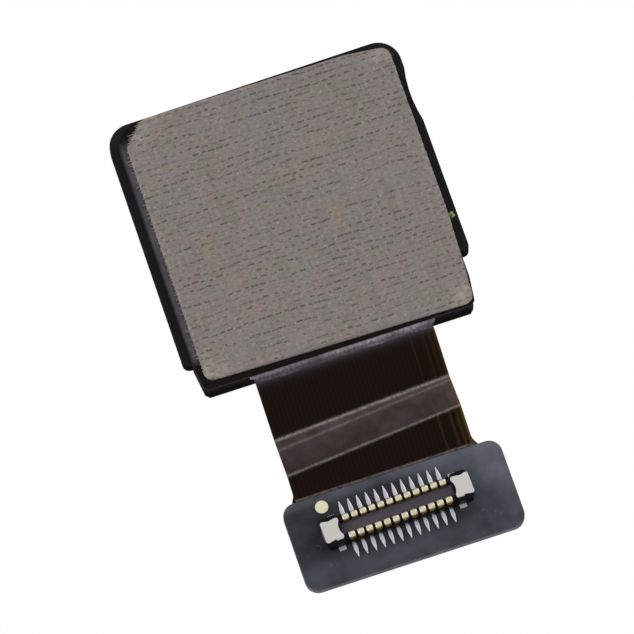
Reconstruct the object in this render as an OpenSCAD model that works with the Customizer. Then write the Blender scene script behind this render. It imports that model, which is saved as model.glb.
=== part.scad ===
// Autofocus camera module with its flex ribbon and board-to-board plug.
// The optical axis is Z. The module lies on the front of its shield can at Z = 0, so its
// taped back faces up, and the flex ribbon leaves the sensor board towards -Y.

/* [Shield can and actuator] */
// Outer width and length of the drawn steel can
can_w = 8.5; // [8.3:0.05:9]
// Sheet thickness of the can
can_wall = 0.15; // [0.12:0.01:0.18]
// Corner radius of the can, seen along the axis
can_corner = 1.2; // [1:0.1:1.5]
// Radius of the rounded edge round the can's front
can_edge = 0.24; // [0.2:0.02:0.3]
// Diameter of the opening in the can's front
can_opening = 6.5; // [6.45:0.05:6.9]
// How far the can's skirt laps over the actuator base
can_lap = 0.25; // [0.2:0.05:0.3]
// Gap all round between the can and what sits inside it
fit_gap = 0.03; // [0.02:0.01:0.04]
// Thickness of the actuator base
base_t = 0.45; // [0.4:0.05:0.6]
// Travel of the lens group from infinity to close focus
travel = 0.35; // [0.25:0.05:0.4]
// Space left between the lens group and its front stop at full travel
stop_gap = 0.05; // [0.04:0.01:0.1]
// Thickness of the leaf springs
spring_t = 0.05; // [0.03:0.01:0.06]
// Width of the leaf spring arms
spring_arm_w = 0.1; // [0.08:0.01:0.12]
// Height of the lens carrier
carrier_h = 2.1; // [1.9:0.05:2.3]
// Wall of the lens carrier under the coil
carrier_wall = 0.36; // [0.3:0.02:0.4]
// Depth of the rims that hold the coil on the carrier
rim_lip = 0.14; // [0.1:0.02:0.18]
// Height of the rims above and below the coil
rim_h = 0.35; // [0.3:0.05:0.45]
// Radial thickness of the coil
coil_t = 0.3; // [0.24:0.02:0.34]
// Gap between the coil and the magnets
magnet_gap = 0.17; // [0.12:0.01:0.2]
// Thickness of a corner magnet, along the diagonal
magnet_t = 0.8; // [0.7:0.05:0.9]
// Height of the magnets
magnet_h = 1.5; // [1.3:0.05:1.6]
// Gap between moving and fixed parts of the actuator
moving_gap = 0.2; // [0.15:0.01:0.22]
// Width of the slit between the two halves of the rear spring
spring_split = 0.2; // [0.15:0.05:0.3]
// Radius of the corner posts on the actuator base
post_r = 0.3; // [0.26:0.01:0.32]
// Radius of the pads on which the lens carrier rests
stop_r = 0.07; // [0.05:0.01:0.08]
// Depth of the round pocket in the actuator base, round the pads
pocket_d = 0.1; // [0.05:0.05:0.2]
// Width of the two coil terminals
terminal_w = 0.4; // [0.3:0.05:0.5]
// Thickness of the coil terminals
terminal_t = 0.12; // [0.1:0.01:0.14]
// Space between the two coil terminals
terminal_space = 1.6; // [1.4:0.1:2]

/* [Lens] */
// Outer diameter of the lens barrel
barrel_d = 6; // [5.8:0.05:6.2]
// Clearance between the barrel's thread and the carrier, on the radius
thread_gap = 0.02; // [0.01:0.01:0.03]
// How far the barrel stays behind the can's front at full travel
lens_guard = 0.1; // [0.05:0.05:0.2]
// Thickness of the barrel's front wall
barrel_front_t = 0.25; // [0.2:0.05:0.35]
// Wall of the barrel round the rear lens
barrel_wall = 0.3; // [0.25:0.05:0.35]
// Chamfer round the barrel's front edge
barrel_bevel = 0.12; // [0.08:0.02:0.16]
// Diameter of the aperture
aperture_d = 2.3; // [2:0.1:2.5]
// Width of the cone in front of the aperture
aperture_cone_w = 0.75; // [0.5:0.05:0.8]
// Width each lens adds on each side of the lens in front of it
lens_add_w = 0.3; // [0.25:0.01:0.32]
// Width of the flat flange round each lens
lens_flange = 0.3; // [0.25:0.05:0.35]
// Clearance round each lens, on the radius
lens_gap = 0.01; // [0.01:0.005:0.02]
// Edge thickness of the first lens
lens_1_t = 0.45; // [0.4:0.05:0.5]
// Edge thickness of the second lens
lens_2_t = 0.35; // [0.3:0.05:0.4]
// Edge thickness of the third lens
lens_3_t = 0.45; // [0.4:0.05:0.5]
// Edge thickness of the fourth lens
lens_4_t = 0.5; // [0.45:0.05:0.55]
// Edge thickness of the fifth lens
lens_5_t = 0.5; // [0.45:0.05:0.55]
// Thickness of the light shields between the lenses
spacer_t = 0.05; // [0.04:0.01:0.06]
// Thickness of the retainer ring behind the lenses
retainer_t = 0.3; // [0.25:0.05:0.35]
// Depth of the barrel's rim behind the retainer ring
barrel_rear = 0.1; // [0.05:0.05:0.15]

/* [Sensor holder] */
// Width of the holder's flange
holder_w = 11.4; // [11.1:0.05:11.8]
// Length of the holder's flange along its left side
holder_l = 9.74; // [9.5:0.02:10.1]
// Thickness of the flange
flange_t = 0.6; // [0.55:0.05:0.7]
// Corner radius of the flange
flange_r = 0.9; // [0.7:0.1:1.1]
// How much further to the rear the flange reaches on the right side
flange_slant = 0.12; // [0.05:0.01:0.2]
// How much sooner the flange ends on the right side
flange_short = 0.95; // [0.7:0.01:1.1]
// Corner radius of the flange's two ends on the flex side
flange_end_r = 0.25; // [0.15:0.05:0.35]
// Depth of the shallow waist in the flange's right side
relief_d = 0.12; // [0.08:0.01:0.16]
// Length of that waist
relief_l = 2.2; // [1.8:0.1:2.4]
// Distance of the waist from the middle, away from the ribbon
relief_y = 2.6; // [2.4:0.1:2.7]
// Border of the holder's foot round the actuator
plinth_border = 0.25; // [0.15:0.05:0.3]
// Width of the cavity round the sensor
cavity_w = 9.4; // [9.2:0.1:9.6]
// Length of the cavity round the sensor
cavity_l = 6.6; // [6.4:0.1:6.9]
// Corner radius of that cavity
cavity_r = 0.4; // [0.3:0.05:0.5]
// Depth of the cavity in front of the board
cavity_d = 0.45; // [0.4:0.05:0.5]
// Gap between the barrel at rest and the window ledge
ledge_gap = 0.1; // [0.08:0.01:0.15]
// Thickness of the window ledge
ledge_t = 0.15; // [0.12:0.01:0.2]

/* [Sensor and filter] */
// Width of the infrared filter
filter_w = 6.6; // [6.4:0.1:6.8]
// Length of the infrared filter
filter_l = 5.8; // [5.6:0.1:6]
// Thickness of the infrared filter
filter_t = 0.21; // [0.15:0.01:0.25]
// Width of the ledge under the filter's edge
filter_seat = 0.55; // [0.4:0.05:0.6]
// Clearance round the filter
filter_gap = 0.05; // [0.03:0.01:0.08]
// Space between the filter and the sensor
sensor_gap = 0.34; // [0.3:0.01:0.4]
// Width of the image sensor
sensor_w = 5.6; // [5.4:0.1:5.8]
// Length of the image sensor
sensor_l = 4.7; // [4.5:0.1:4.9]
// Thickness of the image sensor
sensor_t = 0.2; // [0.15:0.01:0.22]
// Length of a capacitor
cap_l = 0.6; // [0.5:0.05:0.7]
// Width and height of a capacitor
cap_w = 0.3; // [0.25:0.01:0.33]
// Spacing of the capacitors
cap_pitch = 0.75; // [0.65:0.05:0.85]
// Distance of the first capacitors from the middle, towards the ribbon
cap_start = 0.3; // [0.2:0.05:0.4]
// Height of the driver and memory chips
chip_t = 0.33; // [0.28:0.01:0.36]
// Distance of the two chips from the middle, away from the ribbon
chip_y = 1.2; // [1:0.05:1.4]
// Width of the driver chip
driver_w = 1.2; // [1.1:0.05:1.3]
// Length of the driver chip
driver_l = 0.9; // [0.8:0.05:1.1]
// Width of the memory chip
memory_w = 1; // [0.9:0.05:1.2]
// Length of the memory chip
memory_l = 0.75; // [0.65:0.05:0.9]

/* [Sensor board and back] */
// Border of the flange left bare on each side of the sensor board
board_border = 0.39; // [0.35:0.01:0.45]
// How far the sensor board's middle lies to the right of the optical axis
board_x = -0.07; // [-0.1:0.01:0.1]
// Length of the sensor board
board_l = 10.73; // [10.5:0.01:10.9]
// Thickness of the sensor board
board_t = 0.4; // [0.35:0.05:0.5]
// Border of the flange left bare beyond the sensor board's rear edge
board_inset = 0.24; // [0.2:0.01:0.4]
// Radius of the board's two rear corners
board_r = 1; // [0.6:0.1:1.1]
// Chamfer of the two board corners beside the ribbon
board_chamfer = 0.15; // [0.1:0.05:0.3]
// How much the board narrows on each side towards the ribbon
board_taper = 0.12; // [0.05:0.01:0.2]
// Length over which the board narrows
board_taper_l = 1.1; // [0.8:0.1:1.2]
// How far the stiffener plate reaches past the board all round
plate_lip = 0.03; // [0.02:0.01:0.06]
// Thickness of the stiffener plate
plate_t = 0.15; // [0.1:0.01:0.2]
// Border of the plate left bare to the left of the tape
tape_left = 0.28; // [0.2:0.01:0.32]
// How far the tape reaches past the plate on the right side
tape_over = 0.06; // [0.02:0.01:0.1]
// Border of the plate left bare beyond the tape's rear edge
tape_rear = 0.01; // [0.01:0.01:0.05]
// How much the tape narrows on the right side towards the ribbon
tape_taper = 0.19; // [0.1:0.01:0.22]
// Length over which it narrows
tape_taper_l = 3.5; // [3:0.1:4]
// Thickness of the woven tape
tape_t = 0.1; // [0.08:0.01:0.12]
// Border of the plate left bare along the ribbon, at the right
tape_edge = 0.07; // [0.04:0.01:0.12]
// How much wider that border is at the left
tape_slant = 0.2; // [0.1:0.01:0.24]
// Radius of the tape's corners
tape_r = 0.36; // [0.2:0.02:0.4]
// Spacing of the tape's weft threads
weave_pitch = 0.26; // [0.24:0.02:0.34]
// Depth of the grooves between the threads
weave_d = 0.05; // [0.03:0.01:0.06]
// Width of the tape's one clipped corner
tape_clip_w = 0.85; // [0.6:0.05:1]
// Length of the tape's one clipped corner
tape_clip_l = 0.94; // [0.7:0.02:1.2]
// Width over which the tape's other rear corner droops
tape_droop_w = 1.7; // [1.4:0.1:2]
// Depth of that droop
tape_droop = 0.2; // [0.1:0.01:0.24]
// Diameter of the conductive dab on the flange
dab_d = 0.32; // [0.2:0.01:0.34]
// Distance of the dab from the middle, towards the ribbon
dab_start = 2.4; // [2:0.1:2.8]
// Height of the dab
dab_h = 0.1; // [0.06:0.01:0.14]

/* [Flex ribbon] */
// Width of the flex ribbon
flex_w = 6.85; // [6.5:0.05:7.2]
// Thickness of the flex ribbon
flex_t = 0.12; // [0.1:0.01:0.16]
// Length of the flat stretch at the sensor board
flex_root = 0.5; // [0.45:0.05:0.6]
// Length over which the ribbon falls to its first crease
flex_fall_l = 1.78; // [1.5:0.02:2]
// Depth of the first crease below the sensor board's middle
flex_fall = 0.55; // [0.3:0.05:0.7]
// Length over which the ribbon rises to its second crease
flex_rise_l = 1.38; // [1.2:0.02:1.8]
// Rise from the first crease to the second
flex_rise = 0.3; // [0.2:0.05:0.6]
// Length from the second crease to the flat stretch at the plug board
flex_end_l = 0.86; // [0.6:0.02:1]
// Fall from the second crease to the plug board
flex_end_fall = 0.3; // [0.1:0.05:0.5]
// Length of the flat stretch at the plug board
flex_tip = 0.4; // [0.36:0.01:0.5]
// Length of ribbon that bends at each crease
crease_l = 0.22; // [0.15:0.01:0.3]
// Radius of the two inner corners where ribbon and plug board meet
web_r = 0.3; // [0.2:0.05:0.34]
// Width of the adhesive bead at the ribbon's root
bead_w = 0.32; // [0.26:0.02:0.38]
// How far the root bead reaches past each side of the ribbon
bead_over = 0.13; // [0.1:0.01:0.3]
// Width of the thin bead at the plug board
tip_bead_w = 0.14; // [0.1:0.02:0.18]

/* [Plug board] */
// Width of the plug board
plug_board_w = 8.36; // [8:0.02:9]
// Length of the plug board
plug_board_l = 3.43; // [3.2:0.01:3.8]
// Thickness of the plug board
plug_board_t = 0.45; // [0.4:0.05:0.6]
// Corner radius of the plug board
plug_board_r = 0.5; // [0.3:0.05:0.7]
// How far the plug board's middle lies to the right of the ribbon's
plug_board_x = 0.13; // [0:0.01:0.3]
// Distance of the plug from the middle of its board, towards the ribbon
plug_shift = 0.18; // [0.1:0.01:0.22]
// How far the plug's middle lies to the right of the ribbon's
plug_x = -0.06; // [-0.1:0.01:0.1]
// Turn of the plug on its board, in degrees
plug_turn = 1.5; // [0:0.5:2]
// Distance of the round locating pad from the board's left end
pad_in_x = 1.45; // [1.2:0.05:1.6]
// Distance of the locating pad from the board's edge at the ribbon
pad_in_y = 0.48; // [0.4:0.02:0.6]
// Diameter of the round locating pad
pad_d = 0.48; // [0.4:0.01:0.56]
// Thickness of the locating pad
pad_t = 0.03; // [0.02:0.01:0.05]

/* [Board-to-board plug] */
// Contacts along each side of the plug
contact_n = 12; // [10:1:14]
// Spacing of the contacts
contact_pitch = 0.34; // [0.3:0.01:0.36]
// Width of a contact over the wall
contact_w = 0.23; // [0.18:0.01:0.25]
// Width of its solder tail
tail_w = 0.13; // [0.1:0.01:0.16]
// Thickness of the contact strip
contact_t = 0.05; // [0.04:0.01:0.06]
// Radius of the contact's rounded crest
crest_r = 0.1; // [0.07:0.01:0.11]
// Distance between the outer faces of the plug's two walls
plug_w = 0.88; // [0.84:0.02:0.92]
// Thickness of each wall
wall_t = 0.18; // [0.16:0.01:0.2]
// Height of the walls over the board
wall_h = 0.52; // [0.45:0.01:0.6]
// Thickness of the low skirt outside the contacts
skirt_t = 0.05; // [0.04:0.01:0.05]
// Height of that skirt
skirt_h = 0.26; // [0.2:0.01:0.3]
// Thickness of the plug's floor
floor_t = 0.18; // [0.14:0.01:0.22]
// How far a solder tail reaches past the wall
tail_l = 0.66; // [0.55:0.01:0.7]
// Length of the moulded block at each end of the plug
end_l = 0.62; // [0.56:0.01:0.7]
// Width of the end blocks
end_w = 1.1; // [1.1:0.01:1.2]
// Corner radius of the end blocks
end_r = 0.1; // [0.06:0.01:0.14]
// Space between the last contact and the end block
end_gap = 0.18; // [0.12:0.01:0.2]
// Thickness of the hold-down strip
hold_t = 0.06; // [0.05:0.01:0.08]
// Width of the hold-down's top plate
hold_w = 0.82; // [0.76:0.01:0.86]
// Corner radius of the hold-down's top plate
hold_r = 0.08; // [0.04:0.01:0.12]
// Radius of the hollows in three of the plate's edges
hold_hollow_r = 0.5; // [0.46:0.02:0.6]
// Depth of the hollow in the inner edge
hold_waist = 0.08; // [0.04:0.01:0.1]
// Depth of the hollows in the two side edges
hold_hollow = 0.04; // [0.02:0.01:0.05]
// Width of the hold-down's two legs
hold_leg_w = 0.26; // [0.2:0.01:0.3]
// How far the solder feet reach out of the moulding
hold_foot_l = 0.14; // [0.1:0.01:0.18]

/* [Hidden] */
$fn = 64;
eps = 0.01;                                   // overshoot of a cutting tool

// Levels along the axis, from the can's front face to the tape
z_spring = can_wall + travel + stop_gap;      // front leaf spring
z_carrier = z_spring + spring_t;              // front face of the lens carrier
z_carrier_rear = z_carrier + carrier_h;
z_base = z_carrier_rear + spring_t;           // front face of the actuator base
z_base_back = z_base + base_t;
can_h = z_base + can_lap;
z_magnet_rear = z_carrier + magnet_h;
z_barrel = travel + lens_guard;               // front of the lens barrel
z_stack = z_barrel + barrel_front_t;          // front edge of the first lens
lens_ts = [lens_1_t, lens_2_t, lens_3_t, lens_4_t, lens_5_t];
lens_n = len(lens_ts);
function lens_z(i) = i == 0 ? z_stack : lens_z(i - 1) + lens_ts[i - 1] + spacer_t;
z_retainer = lens_z(lens_n - 1) + lens_ts[lens_n - 1];
z_barrel_rear = z_retainer + retainer_t + barrel_rear;
z_ledge = z_barrel_rear + ledge_gap;          // window ledge of the holder
z_filter = z_ledge + ledge_t;
z_filter_rear = z_filter + filter_t;
z_sensor = z_filter_rear + sensor_gap;        // light-sensitive face
z_board = z_sensor + sensor_t;                // front face of the sensor board
z_flange = z_board - flange_t;
z_plate = z_board + board_t;
z_tape = z_plate + plate_t;
z_flex = z_board + board_t / 2;               // middle of the ribbon at its root

// Radii of the actuator
barrel_r = barrel_d / 2;
carrier_r = barrel_r + thread_gap + carrier_wall;
rim_r = carrier_r + rim_lip;
coil_r = carrier_r + coil_t;
frame_r = rim_r + moving_gap;                 // bore of the front frame
way_r = barrel_r + moving_gap;                // bore behind the carrier, for the barrel
magnet_in = coil_r + magnet_gap;
can_in = can_w / 2 - can_wall;
inner_w = 2 * (can_in - fit_gap);             // width of what sits inside the can
inner_corner = can_corner - can_wall - fit_gap;
magnet_half = sqrt(2) * (can_in - fit_gap) - magnet_in;
post_at = magnet_in + magnet_t + fit_gap;     // along the diagonal
spring_w = inner_w - 2 * fit_gap;             // outline of the leaf springs
spring_cut = post_at - post_r - 2 * fit_gap;  // their cut corners, along the diagonal
spring_in_r = coil_r + 2 * fit_gap;           // bore of the outer spring ring
spring_hub_r = (carrier_r + barrel_r) / 2 + fit_gap;
spring_arm_r = rim_r + 2 * fit_gap;
stop_at = (spring_hub_r + spring_arm_w + spring_arm_r) / 2;
terminal_x = (terminal_space + terminal_w) / 2;
terminal_y = (spring_in_r + spring_w / 2) / 2;
lens_max_r = barrel_r - barrel_wall;
function lens_r(i) = lens_max_r - (lens_n - 1 - i) * lens_add_w;

// Board, plate and tape, seen along the axis
board_w = holder_w - 2 * board_border;
board_y1 = holder_l / 2 - board_inset;
board_y0 = board_y1 - board_l;
plate_w = board_w + 2 * plate_lip;
tape_x0 = board_x - plate_w / 2 + tape_left;
tape_x1 = board_x + plate_w / 2 + tape_over;
tape_y0 = board_y0 - plate_lip + tape_edge;
tape_y1 = board_y1 + plate_lip - tape_rear;
flange_right_y = -holder_l / 2 + flange_short;
side_x = (sensor_w + cavity_w) / 4;           // middle of the space beside the sensor
dab_x = (holder_w / 2 + board_x + board_w / 2) / 2;
relief_r = relief_l * relief_l / (8 * relief_d) + relief_d / 2;

// Middle line of the ribbon: [distance from the sensor board, height over its root]
flex_y1 = flex_root + flex_fall_l;
flex_y2 = flex_y1 + flex_rise_l;
flex_y3 = flex_y2 + flex_end_l;
flex_len = flex_y3 + flex_tip;
flex_z2 = flex_rise - flex_fall;
flex_z3 = flex_z2 - flex_end_fall;
flex_corners = [
    [0, 0], [flex_root, 0], [flex_y1, -flex_fall], [flex_y2, flex_z2], [flex_y3, flex_z3],
    [flex_len, flex_z3]
];

// Plug board and plug
plug_board_y1 = board_y0 - flex_len;
plug_board_y = plug_board_y1 - plug_board_l / 2;
z_plug_board = z_flex + flex_z3 - plug_board_t / 2;
z_plug = z_plug_board + plug_board_t;
plug_y = plug_board_y + plug_shift;
row_l = (contact_n - 1) * contact_pitch;
end_x0 = row_l / 2 + contact_w / 2 + end_gap; // inner face of an end block
end_x1 = end_x0 + end_l;
pad_x = plug_board_x - plug_board_w / 2 + pad_in_x;
pad_y = plug_board_y1 - pad_in_y;

// ---- shared shapes ----

module round_rect(w, l, r) {
    square([w - 2 * r, l], center = true);
    square([w, l - 2 * r], center = true);
    for (sx = [-1, 1], sy = [-1, 1]) {
        translate([sx * (w / 2 - r), sy * (l / 2 - r)])
            circle(r);
    }
}

module ring(r_out, r_in, h) {
    linear_extrude(h)
        difference() {
            circle(r_out);
            circle(r_in);
        }
}

// Half of a block's section, with its lower outer edge rounded by e
module half_section(half, h, e) {
    polygon(concat(
        [[0, 0], [0, h], [half, h]],
        [for (a = [0:15:90]) [half - e + e * cos(a), e - e * sin(a)]]
    ));
}

module section(half, h, e) {
    half_section(half, h, e);
    mirror([1, 0])
        half_section(half, h, e);
}

// Drawn block: corners of radius r, lower edge rounded by e
module drawn_block(w, l, h, r, e) {
    rotate([90, 0, 0])
        linear_extrude(l - 2 * r, center = true)
            section(w / 2, h, e);
    rotate([90, 0, 90])
        linear_extrude(w - 2 * r, center = true)
            section(l / 2, h, e);
    for (sx = [-1, 1], sy = [-1, 1]) {
        translate([sx * (w / 2 - r), sy * (l / 2 - r), 0])
            rotate_extrude()
                half_section(r, h, e);
    }
}

// Outline of the sensor board, grown by d all round
module board_outline(d) {
    half = board_w / 2 + d;
    low = board_y0 - d;
    high = board_y1 + d;
    r = board_r + d;
    translate([board_x, 0]) {
        polygon([
            [half - board_taper - board_chamfer, low], [half - board_taper, low + board_chamfer],
            [half, low + board_taper_l], [half, high - r], [half - r, high],
            [r - half, high], [-half, high - r], [-half, low + board_taper_l],
            [board_taper - half, low + board_chamfer], [board_taper + board_chamfer - half, low]
        ]);
        for (sx = [-1, 1]) {
            translate([sx * (half - r), high - r])
                circle(r);
        }
    }
}

// Point at parameter t on the bend round the corner b, between a and c
function bend(a, b, c, t) = (1 - t) * (1 - t) * a + 2 * t * (1 - t) * b + t * t * c;
function toward(a, b, d) = a + (b - a) * d / norm(b - a);
function softened(p, d) = concat(
    [p[0]],
    [
        for (i = [1:len(p) - 2])
            for (t = [0:0.25:1])
                bend(toward(p[i], p[i - 1], d), p[i], toward(p[i], p[i + 1], d), t)
    ],
    [p[len(p) - 1]]
);
function normal_at(p, i) =
    let (a = p[max(i - 1, 0)], b = p[min(i + 1, len(p) - 1)], d = (b - a) / norm(b - a)) [-d[1], d[0]];
function band(p, t) = concat(
    [for (i = [0:len(p) - 1]) p[i] + normal_at(p, i) * t / 2],
    [for (i = [len(p) - 1:-1:0]) p[i] - normal_at(p, i) * t / 2]
);

// Section in (distance towards -Y, height), made w wide along X
module across(w) {
    rotate([90, 0, -90])
        linear_extrude(w, center = true)
            children();
}

// ---- back of the module ----

module tape_outline() {
    offset(r = tape_r)
        offset(delta = -tape_r)
            polygon([
                [tape_x0, tape_y0 + tape_slant], [tape_x1 - tape_taper, tape_y0],
                [tape_x1, tape_y0 + tape_taper_l], [tape_x1, tape_y1 - tape_droop],
                [tape_x1 - tape_droop_w, tape_y1], [tape_x0 + tape_clip_w, tape_y1],
                [tape_x0, tape_y1 - tape_clip_l]
            ]);
}

module back_tape() {
    tape_l = tape_y1 - tape_y0;
    ridge = weave_pitch * 0.6;
    rows = floor((tape_l - ridge) / weave_pitch) + 1;
    margin = (tape_l - (rows - 1) * weave_pitch - ridge) / 2;
    color("#8d867c")
        intersection() {
            translate([0, 0, z_tape])
                linear_extrude(tape_t)
                    tape_outline();
            translate([0, 0, z_tape])
                rotate([90, 0, 90])
                    linear_extrude(2 * plate_w, center = true)
                        polygon(concat(
                            [[tape_y1, 0], [tape_y0, 0], [tape_y0, tape_t - weave_d]],
                            [
                                for (i = [0:rows - 1])
                                    let (y = tape_y0 + margin + i * weave_pitch, in = ridge * 0.2)
                                        each [
                                            [y, tape_t - weave_d], [y + in, tape_t],
                                            [y + ridge - in, tape_t], [y + ridge, tape_t - weave_d]
                                        ]
                            ],
                            [[tape_y1, tape_t - weave_d]]
                        ));
        }
}

module stiffener_plate() {
    color("#47454a")
        translate([0, 0, z_plate])
            linear_extrude(plate_t)
                board_outline(plate_lip);
}

module sensor_board() {
    color("#2a2c33")
        translate([0, 0, z_board])
            linear_extrude(board_t)
                board_outline(0);
}

// ---- moulded holder ----

// One side of the flange, from the middle to x, between y0 and y1
module flange_side(x, y0, y1) {
    middle_y1 = holder_l / 2 + flange_slant / 2;
    hull() {
        translate([0, y0])
            square([eps, middle_y1 - y0]);
        translate([x - flange_r, y1 - flange_r])
            circle(flange_r);
        translate([x - flange_end_r, y0 + flange_end_r])
            circle(flange_end_r);
    }
}

module flange_outline() {
    difference() {
        union() {
            flange_side(holder_w / 2, flange_right_y, holder_l / 2 + flange_slant);
            mirror([1, 0])
                flange_side(holder_w / 2, -holder_l / 2, holder_l / 2);
        }
        translate([holder_w / 2 + relief_r - relief_d, relief_y])
            circle(relief_r, $fn = 4 * $fn);
    }
    board_outline(0);
}

module sensor_holder() {
    plinth_w = can_w + 2 * plinth_border;
    color("#1b1b1e")
        difference() {
            union() {
                translate([0, 0, z_flange])
                    linear_extrude(flange_t)
                        flange_outline();
                translate([0, 0, z_base_back])
                    linear_extrude(z_flange - z_base_back + eps)
                        round_rect(plinth_w, plinth_w, can_corner + plinth_border);
            }
            translate([0, 0, z_base_back - eps])
                cylinder(h = z_ledge - z_base_back + eps, r = way_r);
            translate([0, 0, z_ledge - eps])
                linear_extrude(ledge_t + 2 * eps)
                    square([filter_w - 2 * filter_seat, filter_l - 2 * filter_seat], center = true);
            translate([0, 0, z_filter])
                linear_extrude(z_board - z_filter)
                    round_rect(filter_w + 2 * filter_gap, filter_l + 2 * filter_gap, 2 * filter_gap);
            translate([0, 0, z_board - cavity_d])
                linear_extrude(cavity_d + eps)
                    round_rect(cavity_w, cavity_l, cavity_r);
            for (sx = [-1, 1]) {
                translate([sx * terminal_x, -terminal_y, z_base_back - eps])
                    linear_extrude(z_board - z_base_back + 2 * eps)
                        square([terminal_w + 2 * fit_gap, terminal_t + 2 * fit_gap], center = true);
            }
        }
}

module ir_filter() {
    color("#7fb6b0")
        translate([0, 0, z_filter])
            linear_extrude(filter_t)
                square([filter_w, filter_l], center = true);
}

// ---- parts on the front of the sensor board ----

module image_sensor() {
    color("#3c4f52")
        translate([0, 0, z_sensor])
            linear_extrude(sensor_t)
                square([sensor_w, sensor_l], center = true);
}

module chip(x, w, l) {
    translate([x, chip_y, z_board - chip_t])
        linear_extrude(chip_t)
            square([w, l], center = true);
}

module driver_chip() {
    color("#232326")
        chip(-side_x, driver_w, driver_l);
}

module memory_chip() {
    color("#2b2a2e")
        chip(side_x, memory_w, memory_l);
}

module capacitors() {
    color("#b08a60")
        for (sx = [-1, 1], i = [0:2]) {
            translate([sx * side_x, -cap_start - i * cap_pitch, z_board - cap_w])
                linear_extrude(cap_w)
                    square([cap_l, cap_w], center = true);
        }
}

module ground_dab() {
    color("#b9a75a")
        translate([dab_x, -dab_start, z_board])
            rotate_extrude()
                polygon(concat(
                    [[0, 0]],
                    [for (a = [0:15:90]) [dab_d / 2 * cos(a), dab_h * sin(a)]]
                ));
}

// ---- flex ribbon ----

module flex_ribbon() {
    color("#1c140f")
        translate([0, board_y0, z_flex]) {
            across(flex_w)
                polygon(band(softened(flex_corners, crease_l), flex_t));
            translate([0, -flex_len, flex_z3 - flex_t / 2])
                linear_extrude(flex_t)
                    for (sx = [-1, 1]) {
                        translate([sx * flex_w / 2, 0])
                            difference() {
                                translate([sx * web_r / 2 - sx * eps / 2, web_r / 2])
                                    square([web_r + eps, web_r], center = true);
                                translate([sx * web_r, web_r])
                                    circle(web_r);
                            }
                    }
        }
}

module root_bead() {
    top = board_t / 2;
    color("#6d6d76")
        translate([0, board_y0, z_flex])
            across(flex_w + 2 * bead_over)
                polygon([
                    [0, flex_t / 2], [bead_w, flex_t / 2], [bead_w * 0.9, flex_t / 2 + top * 0.25],
                    [bead_w * 0.6, top * 0.8], [bead_w * 0.3, top], [0, top]
                ]);
}

// ---- plug board ----

module connector_board() {
    color("#353740")
        translate([plug_board_x, plug_board_y, z_plug_board])
            linear_extrude(plug_board_t)
                round_rect(plug_board_w, plug_board_l, plug_board_r);
}

module connector_bead() {
    rise = plug_board_t / 2;
    color("#6e645f")
        translate([0, plug_board_y1, z_flex + flex_z3])
            across(flex_w)
                polygon([
                    [0, flex_t / 2], [-tip_bead_w, flex_t / 2], [-tip_bead_w * 0.6, rise * 0.7], [0, rise]
                ]);
}

module locating_pad() {
    color("#cdb978")
        translate([pad_x, pad_y, z_plug])
            cylinder(h = pad_t, d = pad_d);
}

// ---- board-to-board plug ----

module on_plug_board() {
    translate([plug_x, plug_y, z_plug])
        rotate(plug_turn)
            children();
}

module along_row() {
    for (i = [0:contact_n - 1]) {
        translate([i * contact_pitch - row_l / 2, 0, 0])
            children();
    }
}

module plug_housing() {
    wall_l = 2 * end_x0;
    skirt_w = plug_w + 2 * contact_t + 2 * skirt_t;
    color("#1d1c20")
        on_plug_board()
            difference() {
                union() {
                    linear_extrude(floor_t)
                        square([wall_l, plug_w], center = true);
                    linear_extrude(wall_h)
                        difference() {
                            square([wall_l, plug_w], center = true);
                            square([wall_l, plug_w - 2 * wall_t], center = true);
                        }
                    linear_extrude(skirt_h)
                        difference() {
                            square([wall_l, skirt_w], center = true);
                            square([wall_l, plug_w - wall_t], center = true);
                        }
                    for (sx = [-1, 1]) {
                        translate([sx * (end_x0 + end_l / 2), 0, 0])
                            linear_extrude(wall_h)
                                round_rect(end_l, end_w, end_r);
                    }
                }
                for (s = [0, 1]) {
                    mirror([0, s, 0])
                        along_row()
                            contact_slot();
                    mirror([s, 0, 0])
                        hold_legs();
                }
            }
}

// Room in the skirt for a contact's leg and tail
module contact_slot() {
    translate([-contact_w / 2, plug_w / 2, -eps])
        cube([contact_w, contact_t, skirt_h + 2 * eps]);
    translate([-tail_w / 2, plug_w / 2, -eps])
        cube([tail_w, contact_t + skirt_t + eps, contact_t + eps]);
}

// One contact: tail on the board, over the wall and down into the channel
module contact() {
    out = plug_w / 2;
    in = out - wall_t;
    top = wall_h + contact_t;
    rotate([90, 0, 90]) {
        linear_extrude(contact_w, center = true)
            polygon(concat(
                [[out, 0], [out + contact_t, 0]],
                [
                    for (a = [0:15:90])
                        [out + contact_t - crest_r * (1 - cos(a)), top - crest_r * (1 - sin(a))]
                ],
                [
                    for (a = [90:15:180])
                        [in - contact_t + crest_r * (1 + cos(a)), top - crest_r * (1 - sin(a))]
                ],
                [
                    [in - contact_t, floor_t + contact_t], [in, floor_t + contact_t],
                    [in, wall_h], [out, wall_h]
                ]
            ));
        linear_extrude(tail_w, center = true)
            translate([out, 0])
                square([tail_l, contact_t]);
    }
}

module contacts_far() {
    color("#c8b46e")
        on_plug_board()
            along_row()
                contact();
}

module contacts_near() {
    color("#c8b46e")
        on_plug_board()
            mirror([0, 1, 0])
                along_row()
                    contact();
}

// The hold-down's two legs: down through the end block and out along the board
module hold_legs() {
    out = hold_w / 2;
    foot = end_w / 2 + hold_foot_l;
    translate([end_x0 + hold_t / 2 + hold_leg_w / 2, 0, 0])
        rotate([90, 0, 90])
            linear_extrude(hold_leg_w, center = true)
                for (s = [0, 1]) {
                    mirror([s, 0])
                        polygon([
                            [out - hold_t, wall_h + eps], [out - hold_t, 0], [foot, 0],
                            [foot, hold_t], [out, hold_t], [out, wall_h + eps]
                        ]);
                }
}

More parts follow.
